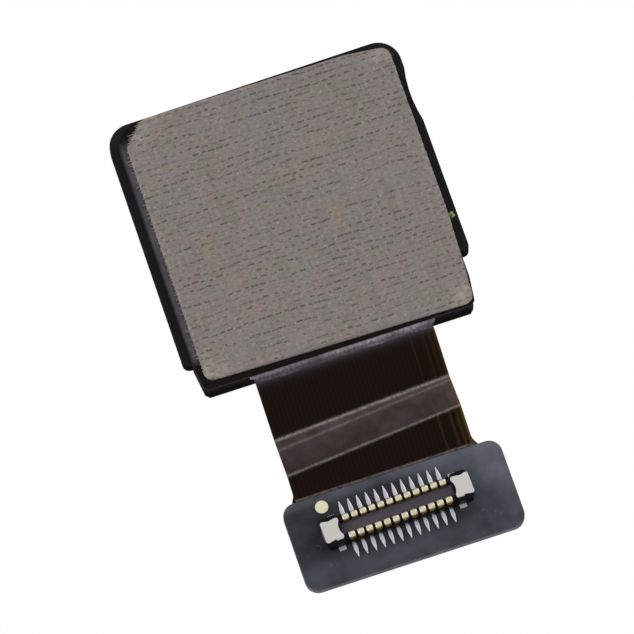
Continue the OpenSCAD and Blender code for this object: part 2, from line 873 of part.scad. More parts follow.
// Metal plate over an end block, with two legs and a tongue down its end
module hold_down() {
    middle = (end_x0 + end_x1 + hold_t) / 2;
    hold_legs();
    translate([0, 0, wall_h])
        linear_extrude(hold_t)
            difference() {
                translate([middle, 0])
                    round_rect(end_l + hold_t, hold_w, hold_r);
                translate([end_x0 - hold_hollow_r + hold_waist, 0])
                    circle(hold_hollow_r);
                for (sy = [-1, 1]) {
                    translate([middle, sy * (hold_w / 2 + hold_hollow_r - hold_hollow)])
                        circle(hold_hollow_r);
                }
            }
    translate([end_x1, 0, 0])
        linear_extrude(wall_h + hold_t)
            translate([hold_t / 2, 0])
                square([hold_t, hold_w / 2], center = true);
}

module hold_down_left() {
    color("#bdb9b4")
        on_plug_board()
            mirror([1, 0, 0])
                hold_down();
}

module hold_down_right() {
    color("#bdb9b4")
        on_plug_board()
            hold_down();
}

// ---- focus actuator ----

module shield_can() {
    color("#2c2b2d")
        difference() {
            drawn_block(can_w, can_w, can_h, can_corner, can_edge);
            translate([0, 0, can_wall])
                drawn_block(2 * can_in, 2 * can_in, can_h, can_corner - can_wall, can_edge - can_wall);
            translate([0, 0, -eps])
                cylinder(h = can_wall + 2 * eps, d = can_opening);
        }
}

module corners(at) {
    for (a = [45:90:315]) {
        rotate(a)
            translate([at, 0])
                children();
    }
}

module actuator_base() {
    color("#202022")
        difference() {
            union() {
                translate([0, 0, z_base])
                    linear_extrude(base_t)
                        round_rect(inner_w, inner_w, inner_corner);
                translate([0, 0, can_h])
                    linear_extrude(z_base_back - can_h)
                        round_rect(can_w, can_w, can_corner);
                translate([0, 0, z_magnet_rear])
                    linear_extrude(z_base - z_magnet_rear + eps)
                        corners(post_at)
                            circle(post_r);
            }
            translate([0, 0, z_base - eps])
                cylinder(h = base_t + 2 * eps, r = way_r);
            difference() {
                translate([0, 0, z_base - eps])
                    cylinder(h = pocket_d + eps, r = frame_r);
                translate([0, 0, z_base])
                    linear_extrude(pocket_d)
                        corners(stop_at)
                            circle(stop_r);
            }
            for (sx = [-1, 1]) {
                translate([sx * terminal_x, -terminal_y, z_base - eps])
                    linear_extrude(base_t + 2 * eps)
                        square([terminal_w, terminal_t], center = true);
            }
        }
    // Pads on which the carrier rests at infinity focus
    color("#202022")
        translate([0, 0, z_carrier_rear])
            linear_extrude(z_base - z_carrier_rear)
                corners(stop_at)
                    circle(stop_r);
}

module coil_terminals() {
    color("#c9c4b8")
        for (sx = [-1, 1]) {
            translate([sx * terminal_x, -terminal_y, z_base])
                linear_extrude(z_board - z_base)
                    square([terminal_w, terminal_t], center = true);
        }
}

module magnets() {
    color("#8e9196")
        translate([0, 0, z_carrier])
            linear_extrude(magnet_h)
                corners(0)
                    polygon([
                        [magnet_in, -magnet_half], [magnet_in + magnet_t, magnet_t - magnet_half],
                        [magnet_in + magnet_t, magnet_half - magnet_t], [magnet_in, magnet_half]
                    ]);
}

module front_frame() {
    color("#262628")
        difference() {
            translate([0, 0, can_wall])
                drawn_block(inner_w, inner_w, z_spring - can_wall, inner_corner, can_edge - can_wall);
            translate([0, 0, can_wall - eps])
                cylinder(h = z_spring - can_wall + 2 * eps, r = frame_r);
        }
}

// Outer ring of a leaf spring, with its corners cut for the posts
module spring_ring() {
    difference() {
        intersection() {
            square(spring_w, center = true);
            rotate(45)
                square(2 * spring_cut, center = true);
        }
        circle(spring_in_r);
    }
}

// Ring on the carrier, and four arms that run round to the outer ring
module spring_hub() {
    arm_sweep = 66;
    arm_mid_r = spring_arm_r + spring_arm_w / 2;
    reach = 2 * spring_w;
    difference() {
        circle(spring_hub_r + spring_arm_w);
        circle(barrel_r + 2 * thread_gap);
    }
    intersection() {
        difference() {
            circle(spring_arm_r + spring_arm_w);
            circle(spring_arm_r);
        }
        for (a = [0:90:270]) {
            rotate(a)
                polygon([
                    [0, 0], [reach, 0], [reach, reach],
                    [reach * cos(arm_sweep), reach * sin(arm_sweep)]
                ]);
        }
    }
    for (a = [0:90:270]) {
        rotate(a)
            translate([spring_hub_r, 0])
                square([arm_mid_r - spring_hub_r, spring_arm_w]);
        rotate(a + arm_sweep)
            translate([arm_mid_r, -spring_arm_w])
                square([spring_in_r - arm_mid_r + spring_arm_w, spring_arm_w]);
    }
}

module leaf_spring() {
    linear_extrude(spring_t) {
        spring_ring();
        spring_hub();
    }
}

module front_spring() {
    color("#b98d4a")
        translate([0, 0, z_spring])
            leaf_spring();
}

// The rear spring is two halves, one for each end of the coil
module rear_spring(side) {
    color("#b98d4a")
        intersection() {
            translate([0, 0, z_carrier_rear])
                leaf_spring();
            translate([side * (spring_split / 2 + can_w / 2), 0, z_carrier_rear])
                cube([can_w, 2 * can_w, 4 * spring_t], center = true);
        }
}

module rear_spring_left() {
    rear_spring(-1);
}

module rear_spring_right() {
    rear_spring(1);
}

// ---- moving lens group ----

module lens_carrier() {
    color("#303033")
        translate([0, 0, z_carrier])
            difference() {
                union() {
                    cylinder(h = carrier_h, r = carrier_r);
                    cylinder(h = rim_h, r = rim_r);
                    translate([0, 0, carrier_h - rim_h])
                        cylinder(h = rim_h, r = rim_r);
                }
                translate([0, 0, -eps])
                    cylinder(h = carrier_h + 2 * eps, r = barrel_r + thread_gap);
            }
}

module coil() {
    color("#b06a3a")
        translate([0, 0, z_carrier + rim_h])
            ring(coil_r, carrier_r, carrier_h - 2 * rim_h);
}

module lens_barrel() {
    color("#19191b")
        difference() {
            translate([0, 0, z_barrel])
                rotate_extrude()
                    polygon([
                        [aperture_d / 2, barrel_front_t], [aperture_d / 2, barrel_front_t * 0.8],
                        [aperture_d / 2 + aperture_cone_w, 0], [barrel_r - barrel_bevel, 0],
                        [barrel_r, barrel_bevel],
                        [barrel_r, z_barrel_rear - z_barrel], [aperture_d / 2, z_barrel_rear - z_barrel]
                    ]);
            for (i = [0:lens_n - 1]) {
                translate([0, 0, lens_z(i)])
                    cylinder(h = z_barrel_rear - lens_z(i) + eps, r = lens_r(i) + lens_gap);
            }
        }
}

// A lens of the stack. Each face is [depth at its middle, depth at its edge] below the
// flat of its flange, in shares of the lens's edge thickness.
module lens(i, front, rear) {
    t = lens_ts[i];
    clear_r = lens_r(i) - lens_flange;
    steps = 10;
    color("#a9c6c4")
        translate([0, 0, lens_z(i)])
            rotate_extrude()
                polygon(concat(
                    [
                        for (k = [0:steps])
                            let (u = k / steps) [u * clear_r, t * (front[0] + (front[1] - front[0]) * u * u)]
                    ],
                    [[clear_r, 0], [lens_r(i), 0], [lens_r(i), t], [clear_r, t]],
                    [
                        for (k = [0:steps])
                            let (u = 1 - k / steps)
                                [u * clear_r, t * (1 - rear[0] - (rear[1] - rear[0]) * u * u)]
                    ]
                ));
}

module lens_1() {
    lens(0, [-0.3, 0.04], [0.14, 0.04]);
}

module lens_2() {
    lens(1, [0.22, 0.08], [0.34, 0.06]);
}

module lens_3() {
    lens(2, [0.04, 0.26], [0.08, 0.26]);
}

module lens_4() {
    lens(3, [0.28, 0.08], [0.06, 0.32]);
}

module lens_5() {
    lens(4, [0.1, 0.32], [0.36, 0.06]);
}

module spacer_rings() {
    color("#141415")
        for (i = [0:lens_n - 2]) {
            translate([0, 0, lens_z(i) + lens_ts[i]])
                ring(lens_r(i), lens_r(i) - lens_flange, spacer_t);
        }
}

module retainer_ring() {
    color("#1a1a1c")
        translate([0, 0, z_retainer])
            ring(lens_max_r, lens_max_r - 1.5 * lens_flange, retainer_t);
}

back_tape();
stiffener_plate();
sensor_board();
sensor_holder();
image_sensor();
ir_filter();
capacitors();
driver_chip();
memory_chip();
ground_dab();
flex_ribbon();
root_bead();
connector_board();
connector_bead();
locating_pad();
plug_housing();
contacts_near();
contacts_far();
hold_down_left();
hold_down_right();
shield_can();
actuator_base();
coil_terminals();
magnets();
front_frame();
front_spring();
rear_spring_left();
rear_spring_right();
lens_carrier();
coil();
lens_barrel();
lens_1();
lens_2();
lens_3();
lens_4();
lens_5();
spacer_rings();
retainer_ring();
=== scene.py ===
"""Dresses the autofocus camera module: taped back, moulded holder, folded flex ribbon and plug.

Lengths are in metres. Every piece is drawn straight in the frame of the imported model: the
optical axis is Z, the taped back faces +Z and the ribbon runs towards -Y.
"""
import math

import bmesh
import bpy
import numpy as np
from mathutils import Matrix, Vector, noise
from mathutils.geometry import convex_hull_2d


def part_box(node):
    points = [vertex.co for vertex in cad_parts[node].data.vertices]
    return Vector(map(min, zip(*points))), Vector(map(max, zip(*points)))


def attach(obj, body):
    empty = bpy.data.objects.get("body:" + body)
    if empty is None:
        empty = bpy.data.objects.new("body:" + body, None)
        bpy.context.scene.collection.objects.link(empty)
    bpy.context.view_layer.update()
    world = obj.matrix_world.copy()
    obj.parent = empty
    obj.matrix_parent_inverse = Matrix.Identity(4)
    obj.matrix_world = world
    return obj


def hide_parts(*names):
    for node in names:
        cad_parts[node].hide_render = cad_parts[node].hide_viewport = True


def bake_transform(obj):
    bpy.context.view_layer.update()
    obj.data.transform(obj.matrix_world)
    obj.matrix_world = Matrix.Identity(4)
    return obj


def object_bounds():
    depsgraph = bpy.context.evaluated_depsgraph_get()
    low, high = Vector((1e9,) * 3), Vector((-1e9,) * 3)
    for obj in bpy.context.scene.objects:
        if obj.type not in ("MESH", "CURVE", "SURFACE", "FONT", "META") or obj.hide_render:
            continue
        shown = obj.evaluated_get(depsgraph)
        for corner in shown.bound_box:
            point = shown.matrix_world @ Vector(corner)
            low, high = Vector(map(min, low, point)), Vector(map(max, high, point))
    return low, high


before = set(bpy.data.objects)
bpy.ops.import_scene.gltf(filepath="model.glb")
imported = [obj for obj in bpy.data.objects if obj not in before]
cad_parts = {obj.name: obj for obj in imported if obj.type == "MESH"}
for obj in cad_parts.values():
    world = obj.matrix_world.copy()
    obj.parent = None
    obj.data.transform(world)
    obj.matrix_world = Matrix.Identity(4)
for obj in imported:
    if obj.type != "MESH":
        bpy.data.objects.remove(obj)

MM = 0.001
cad_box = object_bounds()


# ---- small tools ----

def linear(hex_colour):
    """The linear colour behind an sRGB hex value."""
    parts = [int(hex_colour[i:i + 2], 16) / 255 for i in (1, 3, 5)]
    return tuple(p / 12.92 if p <= 0.04045 else ((p + 0.055) / 1.055) ** 2.4 for p in parts) + (1.0,)


def every(mm):
    """Repeats per metre of what repeats once in so many millimetres."""
    return 1000.0 / mm


def add(tree, kind, inputs=None, **settings):
    """Adds a node, gives it its settings, and sets or links its inputs."""
    node = tree.nodes.new(kind)
    for name, value in settings.items():
        setattr(node, name, value)
    for key, value in (inputs or {}).items():
        if isinstance(value, bpy.types.Node):
            value = next(s for s in value.outputs if s.enabled)
        if isinstance(value, bpy.types.NodeSocket):
            tree.links.new(value, node.inputs[key])
        else:
            node.inputs[key].default_value = value
    return node


def blank(name):
    """A new material with nothing in it yet, and its node tree."""
    material = bpy.data.materials.new(name)
    material.use_nodes = True
    material.node_tree.nodes.clear()
    return material, material.node_tree


def smooth_step(x, low, high):
    t = np.clip((x - low) / (high - low), 0, 1)
    return t * t * (3 - 2 * t)


def make(name, points, faces, shade_angle=40):
    """A mesh object from points and faces, smooth where neighbouring faces turn little."""
    mesh = bpy.data.meshes.new(name)
    mesh.from_pydata([tuple(p) for p in points], [], faces)
    mesh.update()
    mesh.shade_smooth()
    mesh.set_sharp_from_angle(angle=math.radians(shade_angle))
    obj = bpy.data.objects.new(name, mesh)
    bpy.context.scene.collection.objects.link(obj)
    return obj


def dress(obj, material, slot_name, body, *nodes):
    """Gives a piece its material and body, and hides the nodes it stands for. slot_name is not used.
    """
    obj.data.materials.clear()
    obj.data.materials.append(material)
    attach(obj, body)
    if nodes:
        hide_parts(*nodes)
    return obj


def closed_sheet(name, top, bottom, marks=None):
    """A closed sheet over a grid of points, rows x columns x 3.

    bottom is a second grid, or the one height of a flat underside. marks gives named values
    at the points of the top grid, which the materials read.
    """
    rows, columns = top.shape[:2]
    count = rows * columns
    index = np.arange(count).reshape(rows, columns)
    corners = [index[:-1, :-1], index[:-1, 1:], index[1:, 1:], index[1:, :-1]]
    upper = np.stack(corners, -1).reshape(-1, 4)
    rim = np.concatenate([index[0, :-1], index[:-1, -1], index[-1, :0:-1], index[:0:-1, 0]])
    points = top.reshape(-1, 3)
    if np.isscalar(bottom):
        below = points[rim].copy()
        below[:, 2] = bottom
        foot = count + np.arange(len(rim))
        lower = [foot[::-1].tolist()]
    else:
        below = bottom.reshape(-1, 3)
        foot = rim + count
        lower = (upper[:, ::-1] + count).tolist()
    sides = np.stack([rim, foot, np.roll(foot, -1), np.roll(rim, -1)], -1)
    faces = upper.tolist() + lower + sides.tolist()
    obj = make(name, np.concatenate([points, below]).tolist(), faces, 50)
    for mark, values in (marks or {}).items():
        layer = obj.data.attributes.new(mark, "FLOAT", "POINT")
        values = values.reshape(-1)
        lower_values = values[rim] if np.isscalar(bottom) else values
        layer.data.foreach_set("value", np.concatenate([values, lower_values]).astype(np.float32))
    return obj


def prism(name, outline, z0, z1, shade_angle=40):
    """A closed block over an outline of (x, y) points, drawn anticlockwise."""
    n = len(outline)
    points = [(x, y, z) for z in (z0, z1) for x, y in outline]
    faces = [list(range(n - 1, -1, -1)), list(range(n, 2 * n))]
    faces += [[i, (i + 1) % n, n + (i + 1) % n, n + i] for i in range(n)]
    return make(name, points, faces, shade_angle)


def ease(obj, width, segments=2, angle=35):
    """Rounds the edges of a piece, as moulding, pressing or handling leaves them."""
    bevel = obj.modifiers.new("eased_edges", "BEVEL")
    bevel.width = width
    bevel.segments = segments
    bevel.limit_method = "ANGLE"
    bevel.angle_limit = math.radians(angle)
    bevel.use_clamp_overlap = True
    bevel.harden_normals = False
    return obj


def eased_copy(node, name, width, segments=2, angle=35):
    """A node's own form with its edges rounded."""
    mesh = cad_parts[node].data.copy()
    work = bmesh.new()
    work.from_mesh(mesh)
    bmesh.ops.remove_doubles(work, verts=work.verts, dist=0.0005 * MM)
    flat = math.radians(0.5)
    bmesh.ops.dissolve_limit(work, angle_limit=flat, verts=work.verts, edges=work.edges)
    points = [v.co.copy() for v in work.verts]
    work.verts.index_update()
    faces = [[v.index for v in face.verts] for face in work.faces]
    work.free()
    obj = make(name, points, faces, 35)
    return ease(obj, width, segments, angle)


# ---- materials ----

def woven_nickel_cloth():
    """Nickel-plated polyester cloth, plain woven and stuck down as a shield.

    Gives a matt taupe face with rows of short dark gaps between the threads, cloudy patches of
    pinkish, greenish and yellowish gray, pale specks of painted highlight on the thread crests, and
    pale rubbed edges.
    """
    material, tree = blank("woven_nickel_cloth")
    place = add(tree, "ShaderNodeTexCoord").outputs["Object"]

    def math_node(kind, *values):
        return add(tree, "ShaderNodeMath", dict(enumerate(values)), operation=kind)

    def cloud(mm, detail, w=0.0):
        return add(tree, "ShaderNodeTexNoise",
                   {"Vector": place, "W": w, "Scale": every(mm), "Detail": detail},
                   noise_dimensions="4D")

    # Rows of gaps: each weft row is a line, broken into dashes that step from row to row
    axes = add(tree, "ShaderNodeSeparateXYZ", {0: place})
    sway = math_node("MULTIPLY", cloud(2.6, 1.0), 1.1)
    v = math_node("MULTIPLY_ADD", axes.outputs["Y"], every(0.265), sway)
    row = math_node("FLOOR", v)
    u = math_node("MULTIPLY_ADD", axes.outputs["X"], every(0.31), math_node("MULTIPLY", row, 0.5))
    u = math_node("ADD", u, math_node("MULTIPLY", cloud(0.9, 1.0, 5.0), 0.9))
    column = math_node("FLOOR", u)
    cell = add(tree, "ShaderNodeCombineXYZ", {0: column, 1: row})
    luck = add(tree, "ShaderNodeTexWhiteNoise", {"Vector": cell}, noise_dimensions="2D")
    parts = add(tree, "ShaderNodeSeparateColor", {0: luck.outputs["Color"]})
    row_luck = add(tree, "ShaderNodeTexWhiteNoise", {"W": row}, noise_dimensions="1D")
    # Each gap sits a little off its place and is longer or shorter than the next
    rise = math_node("MULTIPLY_ADD", parts.outputs[0], 0.3, 0.35)
    shift = math_node("MULTIPLY_ADD", parts.outputs[1], 0.3, 0.35)
    reach = math_node("MULTIPLY_ADD", parts.outputs[2], 0.34, 0.14)
    across = math_node("ABSOLUTE", math_node("SUBTRACT", math_node("FRACT", v), rise))
    along = math_node("ABSOLUTE", math_node("SUBTRACT", math_node("FRACT", u), shift))
    # Open gaps come in runs along a row
    runs = add(tree, "ShaderNodeMapping", {"Vector": place, "Scale": (0.2, 1.0, 1.0)})
    runs = add(tree, "ShaderNodeTexNoise", {"Vector": runs, "Scale": every(0.3), "Detail": 1.0})
    chance = math_node("MULTIPLY_ADD", luck.outputs["Value"], 0.4, runs)
    chance = math_node("MULTIPLY_ADD", row_luck.outputs["Value"], 0.2, chance)
    open_part = add(tree, "ShaderNodeMapRange", {0: chance, 1: 0.52, 2: 0.98})
    thin = add(tree, "ShaderNodeMapRange", {0: across, 1: 0.05, 2: 0.19, 3: 1.0, 4: 0.0})
    short = math_node("LESS_THAN", along, reach)
    short = math_node("MULTIPLY", short, add(
        tree, "ShaderNodeMapRange", {0: cloud(0.07, 2.0, 11.0), 1: 0.3, 2: 0.6, 3: 0.3, 4: 1.0}))
    dash = math_node("MULTIPLY", math_node("MULTIPLY", thin, short), open_part)
    # Colour of the cloth: slow patches, fine grain, painted highlights on the thread crests
    warm = add(tree, "ShaderNodeMapRange", {0: cloud(1.2, 2.0, 1.0), 1: 0.4, 2: 0.6})
    green = add(tree, "ShaderNodeMapRange", {0: cloud(1.0, 2.0, 2.0), 1: 0.5, 2: 0.64, 4: 0.75})
    yellow = add(tree, "ShaderNodeMapRange", {0: cloud(0.8, 1.0, 3.0), 1: 0.56, 2: 0.7, 4: 0.7})
    cloth = add(tree, "ShaderNodeMix", {0: warm, 6: linear("#8f8885"), 7: linear("#948783")},
                data_type="RGBA")
    cloth = add(tree, "ShaderNodeMix", {0: green, 6: cloth, 7: linear("#89887d")},
                data_type="RGBA")
    cloth = add(tree, "ShaderNodeMix", {0: yellow, 6: cloth, 7: linear("#938a7b")},
                data_type="RGBA")
    fibre = add(tree, "ShaderNodeMapping", {"Vector": place, "Scale": (0.4, 1.0, 1.0)})
    fibre = add(tree, "ShaderNodeTexNoise",
                {"Vector": fibre, "Scale": every(0.07), "Detail": 3.0, "Roughness": 0.7})
    light = add(tree, "ShaderNodeMapRange", {0: fibre, 1: 0.3, 2: 0.7, 3: 0.8, 4: 1.2})
    warp = add(tree, "ShaderNodeMapping", {"Vector": place, "Scale": (1.0, 0.04, 1.0)})
    warp = add(tree, "ShaderNodeTexNoise", {"Vector": warp, "Scale": every(0.12), "Detail": 2.0})
    warp = add(tree, "ShaderNodeMapRange", {0: warp, 1: 0.3, 2: 0.7, 3: 0.94, 4: 1.06})
    light = math_node("MULTIPLY", light.outputs[0], warp)
    cloth = add(tree, "ShaderNodeVectorMath", {0: cloth.outputs[2], 1: light}, operation="MULTIPLY")
    # Painted highlight: pale specks on the thread crests. The rub mark mixed in with them is real
    # wear on the edges.
    crest = add(tree, "ShaderNodeMapRange", {0: cloud(0.1, 2.0, 6.0), 1: 0.6, 2: 0.7, 4: 0.85})
    rub = add(tree, "ShaderNodeAttribute", attribute_name="rub").outputs["Fac"]
    pale = math_node("MAXIMUM", crest, rub)
    cloth = add(tree, "ShaderNodeMix", {0: pale, 6: cloth, 7: linear("#b5aea3")},
                data_type="RGBA")
    shade = math_node("MULTIPLY", dash, 0.82)
    cloth = add(tree, "ShaderNodeMix", {0: shade, 6: cloth, 7: linear("#463d38")},
                data_type="RGBA")
    sunk = add(tree, "ShaderNodeBump", {"Height": math_node("MULTIPLY", dash, -1.0),
                                        "Distance": 0.02 * MM, "Strength": 0.6})
    shader = add(tree, "ShaderNodeBsdfPrincipled", {
        "Base Color": cloth, "Metallic": 0.0, "Roughness": 0.75, "Specular IOR Level": 0.3,
        "Normal": sunk,
    })
    add(tree, "ShaderNodeOutputMaterial", {"Surface": shader})
    return material


def blackened_steel():
    """Stainless sheet, punched and blackened. Gives a satin black face with painted light along its
    left edge: a mottled purplish gray, as if lit from the left, darkest at the rim."""
    material, tree = blank("blackened_steel")
    place = add(tree, "ShaderNodeTexCoord").outputs["Object"]
    mottle = add(tree, "ShaderNodeTexNoise", {"Vector": place, "Scale": every(0.2), "Detail": 4.0})
    axes = add(tree, "ShaderNodeSeparateXYZ", {0: place})
    # Painted light: the plate's left edge is painted a lighter mottled purplish gray, as if lit from
    # the left. It stops short of the rim and fades out towards both ends.
    worn = add(tree, "ShaderNodeMapRange", {0: axes.outputs["X"], 1: -5.42 * MM, 2: -5.3 * MM})
    for start, end in ((4.1, 3.5), (-5.15, -4.85)):
        part = add(tree, "ShaderNodeMapRange", {0: axes.outputs["Y"], 1: start * MM, 2: end * MM})
        worn = add(tree, "ShaderNodeMath", {0: worn, 1: part}, operation="MULTIPLY")
    gray = add(tree, "ShaderNodeMix",
               {0: mottle, 6: linear("#3e3b41"), 7: linear("#6e6972")}, data_type="RGBA")
    colour = add(tree, "ShaderNodeMix", {0: worn, 6: linear("#1d1918"), 7: gray},
                 data_type="RGBA")
    rough = add(tree, "ShaderNodeMapRange", {0: mottle, 3: 0.45, 4: 0.7})
    shader = add(tree, "ShaderNodeBsdfPrincipled", {
        "Base Color": colour, "Metallic": 0.2, "Roughness": rough, "Specular IOR Level": 0.05,
    })
    add(tree, "ShaderNodeOutputMaterial", {"Surface": shader})
    return material


def solder_mask(name, dark, pale, shine, painted_sheen=None, sheen_places=()):
    """Screened solder mask on laminate. Gives a matt blue-black face with soft dusty clouds.

    Painted sheen: at each of the places listed, the colour goes over to the paler sheen colour,
    standing in for the lamps' reflection in the coat. Each place is a direction, how far along it
    the sheen begins and is full in mm, and its strength.
    """
    material, tree = blank(name)
    place = add(tree, "ShaderNodeTexCoord").outputs["Object"]
    clouds = add(tree, "ShaderNodeTexNoise", {"Vector": place, "Scale": every(1.1), "Detail": 5.0})
    specks = add(tree, "ShaderNodeTexNoise", {"Vector": place, "Scale": every(0.14), "Detail": 3.0})
    cloud = add(tree, "ShaderNodeMapRange", {0: clouds, 1: 0.35, 2: 0.7})
    colour = add(tree, "ShaderNodeMix", {0: cloud, 6: linear(dark), 7: linear(pale)},
                 data_type="RGBA")
    uneven = add(tree, "ShaderNodeMapRange", {0: clouds, 1: 0.3, 2: 0.6, 3: 0.6, 4: 1.0})
    # Painted sheen: a paler colour laid on along each listed direction, standing in for the lamps'
    # reflection.
    for direction, start, end, strength in sheen_places:
        along = add(tree, "ShaderNodeVectorMath", {0: place, 1: direction},
                    operation="DOT_PRODUCT").outputs["Value"]
        part = add(tree, "ShaderNodeMapRange",
                   {0: along, 1: start * MM, 2: end * MM, 4: strength},
                   interpolation_type="SMOOTHSTEP")
        part = add(tree, "ShaderNodeMath", {0: part, 1: uneven}, operation="MULTIPLY")
        colour = add(tree, "ShaderNodeMix", {0: part, 6: colour, 7: linear(painted_sheen)},
                     data_type="RGBA")
    dust = add(tree, "ShaderNodeMapRange", {0: specks, 1: 0.66, 2: 0.8, 4: 0.35})
    colour = add(tree, "ShaderNodeMix", {0: dust, 6: colour, 7: linear("#8c8c90")},
                 data_type="RGBA")
    worn = add(tree, "ShaderNodeBump", {"Height": specks, "Distance": 0.004 * MM, "Strength": 0.6})
    shader = add(tree, "ShaderNodeBsdfPrincipled", {
        "Base Color": colour, "Roughness": 0.5, "Specular IOR Level": shine, "Normal": worn,
    })
    add(tree, "ShaderNodeOutputMaterial", {"Surface": shader})
    return material


def moulded_polymer(name, tone, roughness, grit_mm=0.06, shine=0.1, lit=None, lit_below=9.0,
                    step_mm=None):
    """Glass-filled black polymer, injection moulded. Gives a fine even tooth and soft edges.

    lit is a paler tone painted on faces turned up, as painted light from the lamps above, and
    lit_below is the height in mm up to which they get it. step_mm is the width of the glare-proof
    steps that run round the optical axis.
    """
    material, tree = blank(name)
    place = add(tree, "ShaderNodeTexCoord").outputs["Object"]
    grit = add(tree, "ShaderNodeTexNoise", {"Vector": place, "Scale": every(grit_mm), "Detail": 3.0})
    flow = add(tree, "ShaderNodeTexNoise", {"Vector": place, "Scale": every(1.5), "Detail": 2.0})
    # Painted light: faces turned up are painted in the paler lit tone.
    up = add(tree, "ShaderNodeSeparateXYZ",
             {0: add(tree, "ShaderNodeNewGeometry").outputs["Normal"]}).outputs["Z"]
    up = add(tree, "ShaderNodeMapRange", {0: up, 1: 0.8, 2: 1.0})
    height = add(tree, "ShaderNodeSeparateXYZ", {0: place}).outputs["Z"]
    low = add(tree, "ShaderNodeMath", {0: height, 1: lit_below * MM}, operation="LESS_THAN")
    up = add(tree, "ShaderNodeMath", {0: up, 1: low}, operation="MULTIPLY")
    colour = add(tree, "ShaderNodeMix", {0: up, 6: linear(tone), 7: linear(lit or tone)},
                 data_type="RGBA")
    shade = add(tree, "ShaderNodeMapRange", {0: flow, 3: 0.8, 4: 1.25})
    colour = add(tree, "ShaderNodeVectorMath", {0: colour.outputs[2], 1: shade},
                 operation="MULTIPLY")
    rough = add(tree, "ShaderNodeMapRange", {0: flow, 3: roughness - 0.08, 4: roughness + 0.1})
    tooth = add(tree, "ShaderNodeBump", {"Height": grit, "Distance": 0.003 * MM, "Strength": 0.7})
    if step_mm:
        across = add(tree, "ShaderNodeVectorMath", {0: place, 1: (1, 1, 0)}, operation="MULTIPLY")
        radius = add(tree, "ShaderNodeVectorMath", {0: across}, operation="LENGTH").outputs["Value"]
        step = add(tree, "ShaderNodeMath", {0: radius, 1: every(step_mm)}, operation="MULTIPLY")
        step = add(tree, "ShaderNodeMath", {0: step}, operation="FRACT")
        tooth = add(tree, "ShaderNodeBump", {
            "Height": step, "Distance": 0.03 * MM, "Strength": 0.8, "Normal": tooth})
    shader = add(tree, "ShaderNodeBsdfPrincipled", {
        "Base Color": colour, "Roughness": rough, "Specular IOR Level": shine, "Normal": tooth,
    })
    add(tree, "ShaderNodeOutputMaterial", {"Surface": shader})
    return material


def coverlay_polyimide():
    """Polyimide ribbon under dark coverlay, laminated. Gives a brown-black sheen with fine copper
    traces along it, amber margins where light comes through, a painted sheen on the band between
    the folds, and pale lines at its folds, whitened coverlay with painted highlight."""
    material, tree = blank("coverlay_polyimide")
    place = add(tree, "ShaderNodeTexCoord").outputs["Object"]
    x = add(tree, "ShaderNodeSeparateXYZ", {0: place}).outputs["X"]
    fold = add(tree, "ShaderNodeAttribute", attribute_name="fold").outputs["Fac"]
    painted_sheen = add(tree, "ShaderNodeAttribute", attribute_name="painted_sheen").outputs["Fac"]
    amber = add(tree, "ShaderNodeAttribute", attribute_name="amber").outputs["Fac"]
    trace = add(tree, "ShaderNodeMath", {0: x, 1: every(0.16)}, operation="MULTIPLY")
    trace = add(tree, "ShaderNodeMath", {0: trace, 1: 0.5}, operation="PINGPONG")
    trace = add(tree, "ShaderNodeMapRange", {0: trace, 1: 0.15, 2: 0.35})
    broad = add(tree, "ShaderNodeTexNoise", {"Vector": place, "Scale": every(0.7), "Detail": 4.0})
    fine = add(tree, "ShaderNodeTexNoise", {"Vector": place, "Scale": every(0.1), "Detail": 2.0})
    shade = add(tree, "ShaderNodeMath", {0: trace, 1: broad}, operation="MULTIPLY")
    colour = add(tree, "ShaderNodeMix", {0: shade, 6: linear("#180e07"), 7: linear("#22150b")},
                 data_type="RGBA")
    # Painted sheen: the band between the folds is painted a paler lilac-brown, a painted reflection.
    patchy = add(tree, "ShaderNodeMapRange", {0: broad, 1: 0.35, 2: 0.65})
    rubbed = add(tree, "ShaderNodeMix", {0: patchy, 6: linear("#4e3f38"), 7: linear("#635557")},
                 data_type="RGBA")
    colour = add(tree, "ShaderNodeMix", {0: painted_sheen, 6: colour, 7: rubbed}, data_type="RGBA")
    colour = add(tree, "ShaderNodeMix", {0: amber, 6: colour, 7: linear("#6c5126")},
                 data_type="RGBA")
    film = add(tree, "ShaderNodeAttribute", attribute_name="film").outputs["Fac"]
    colour = add(tree, "ShaderNodeMix", {0: film, 6: colour, 7: linear("#59545f")},
                 data_type="RGBA")
    # Pale fold lines: coverlay whitened by folding, with painted highlight.
    broken = add(tree, "ShaderNodeMapRange", {0: fine, 1: 0.3, 2: 0.62, 3: 0.45, 4: 1.0})
    line = add(tree, "ShaderNodeMath", {0: fold, 1: broken}, operation="MULTIPLY")
    colour = add(tree, "ShaderNodeMix", {0: line, 6: colour, 7: linear("#a0958c")},
                 data_type="RGBA")
    raised = add(tree, "ShaderNodeBump", {"Height": trace, "Distance": 0.003 * MM, "Strength": 0.3})
    rough = add(tree, "ShaderNodeMapRange", {0: broad, 3: 0.35, 4: 0.55})
    shader = add(tree, "ShaderNodeBsdfPrincipled", {
        "Base Color": colour, "Roughness": rough, "Specular IOR Level": 0.06, "Normal": raised,
    })
    add(tree, "ShaderNodeOutputMaterial", {"Surface": shader})
    return material


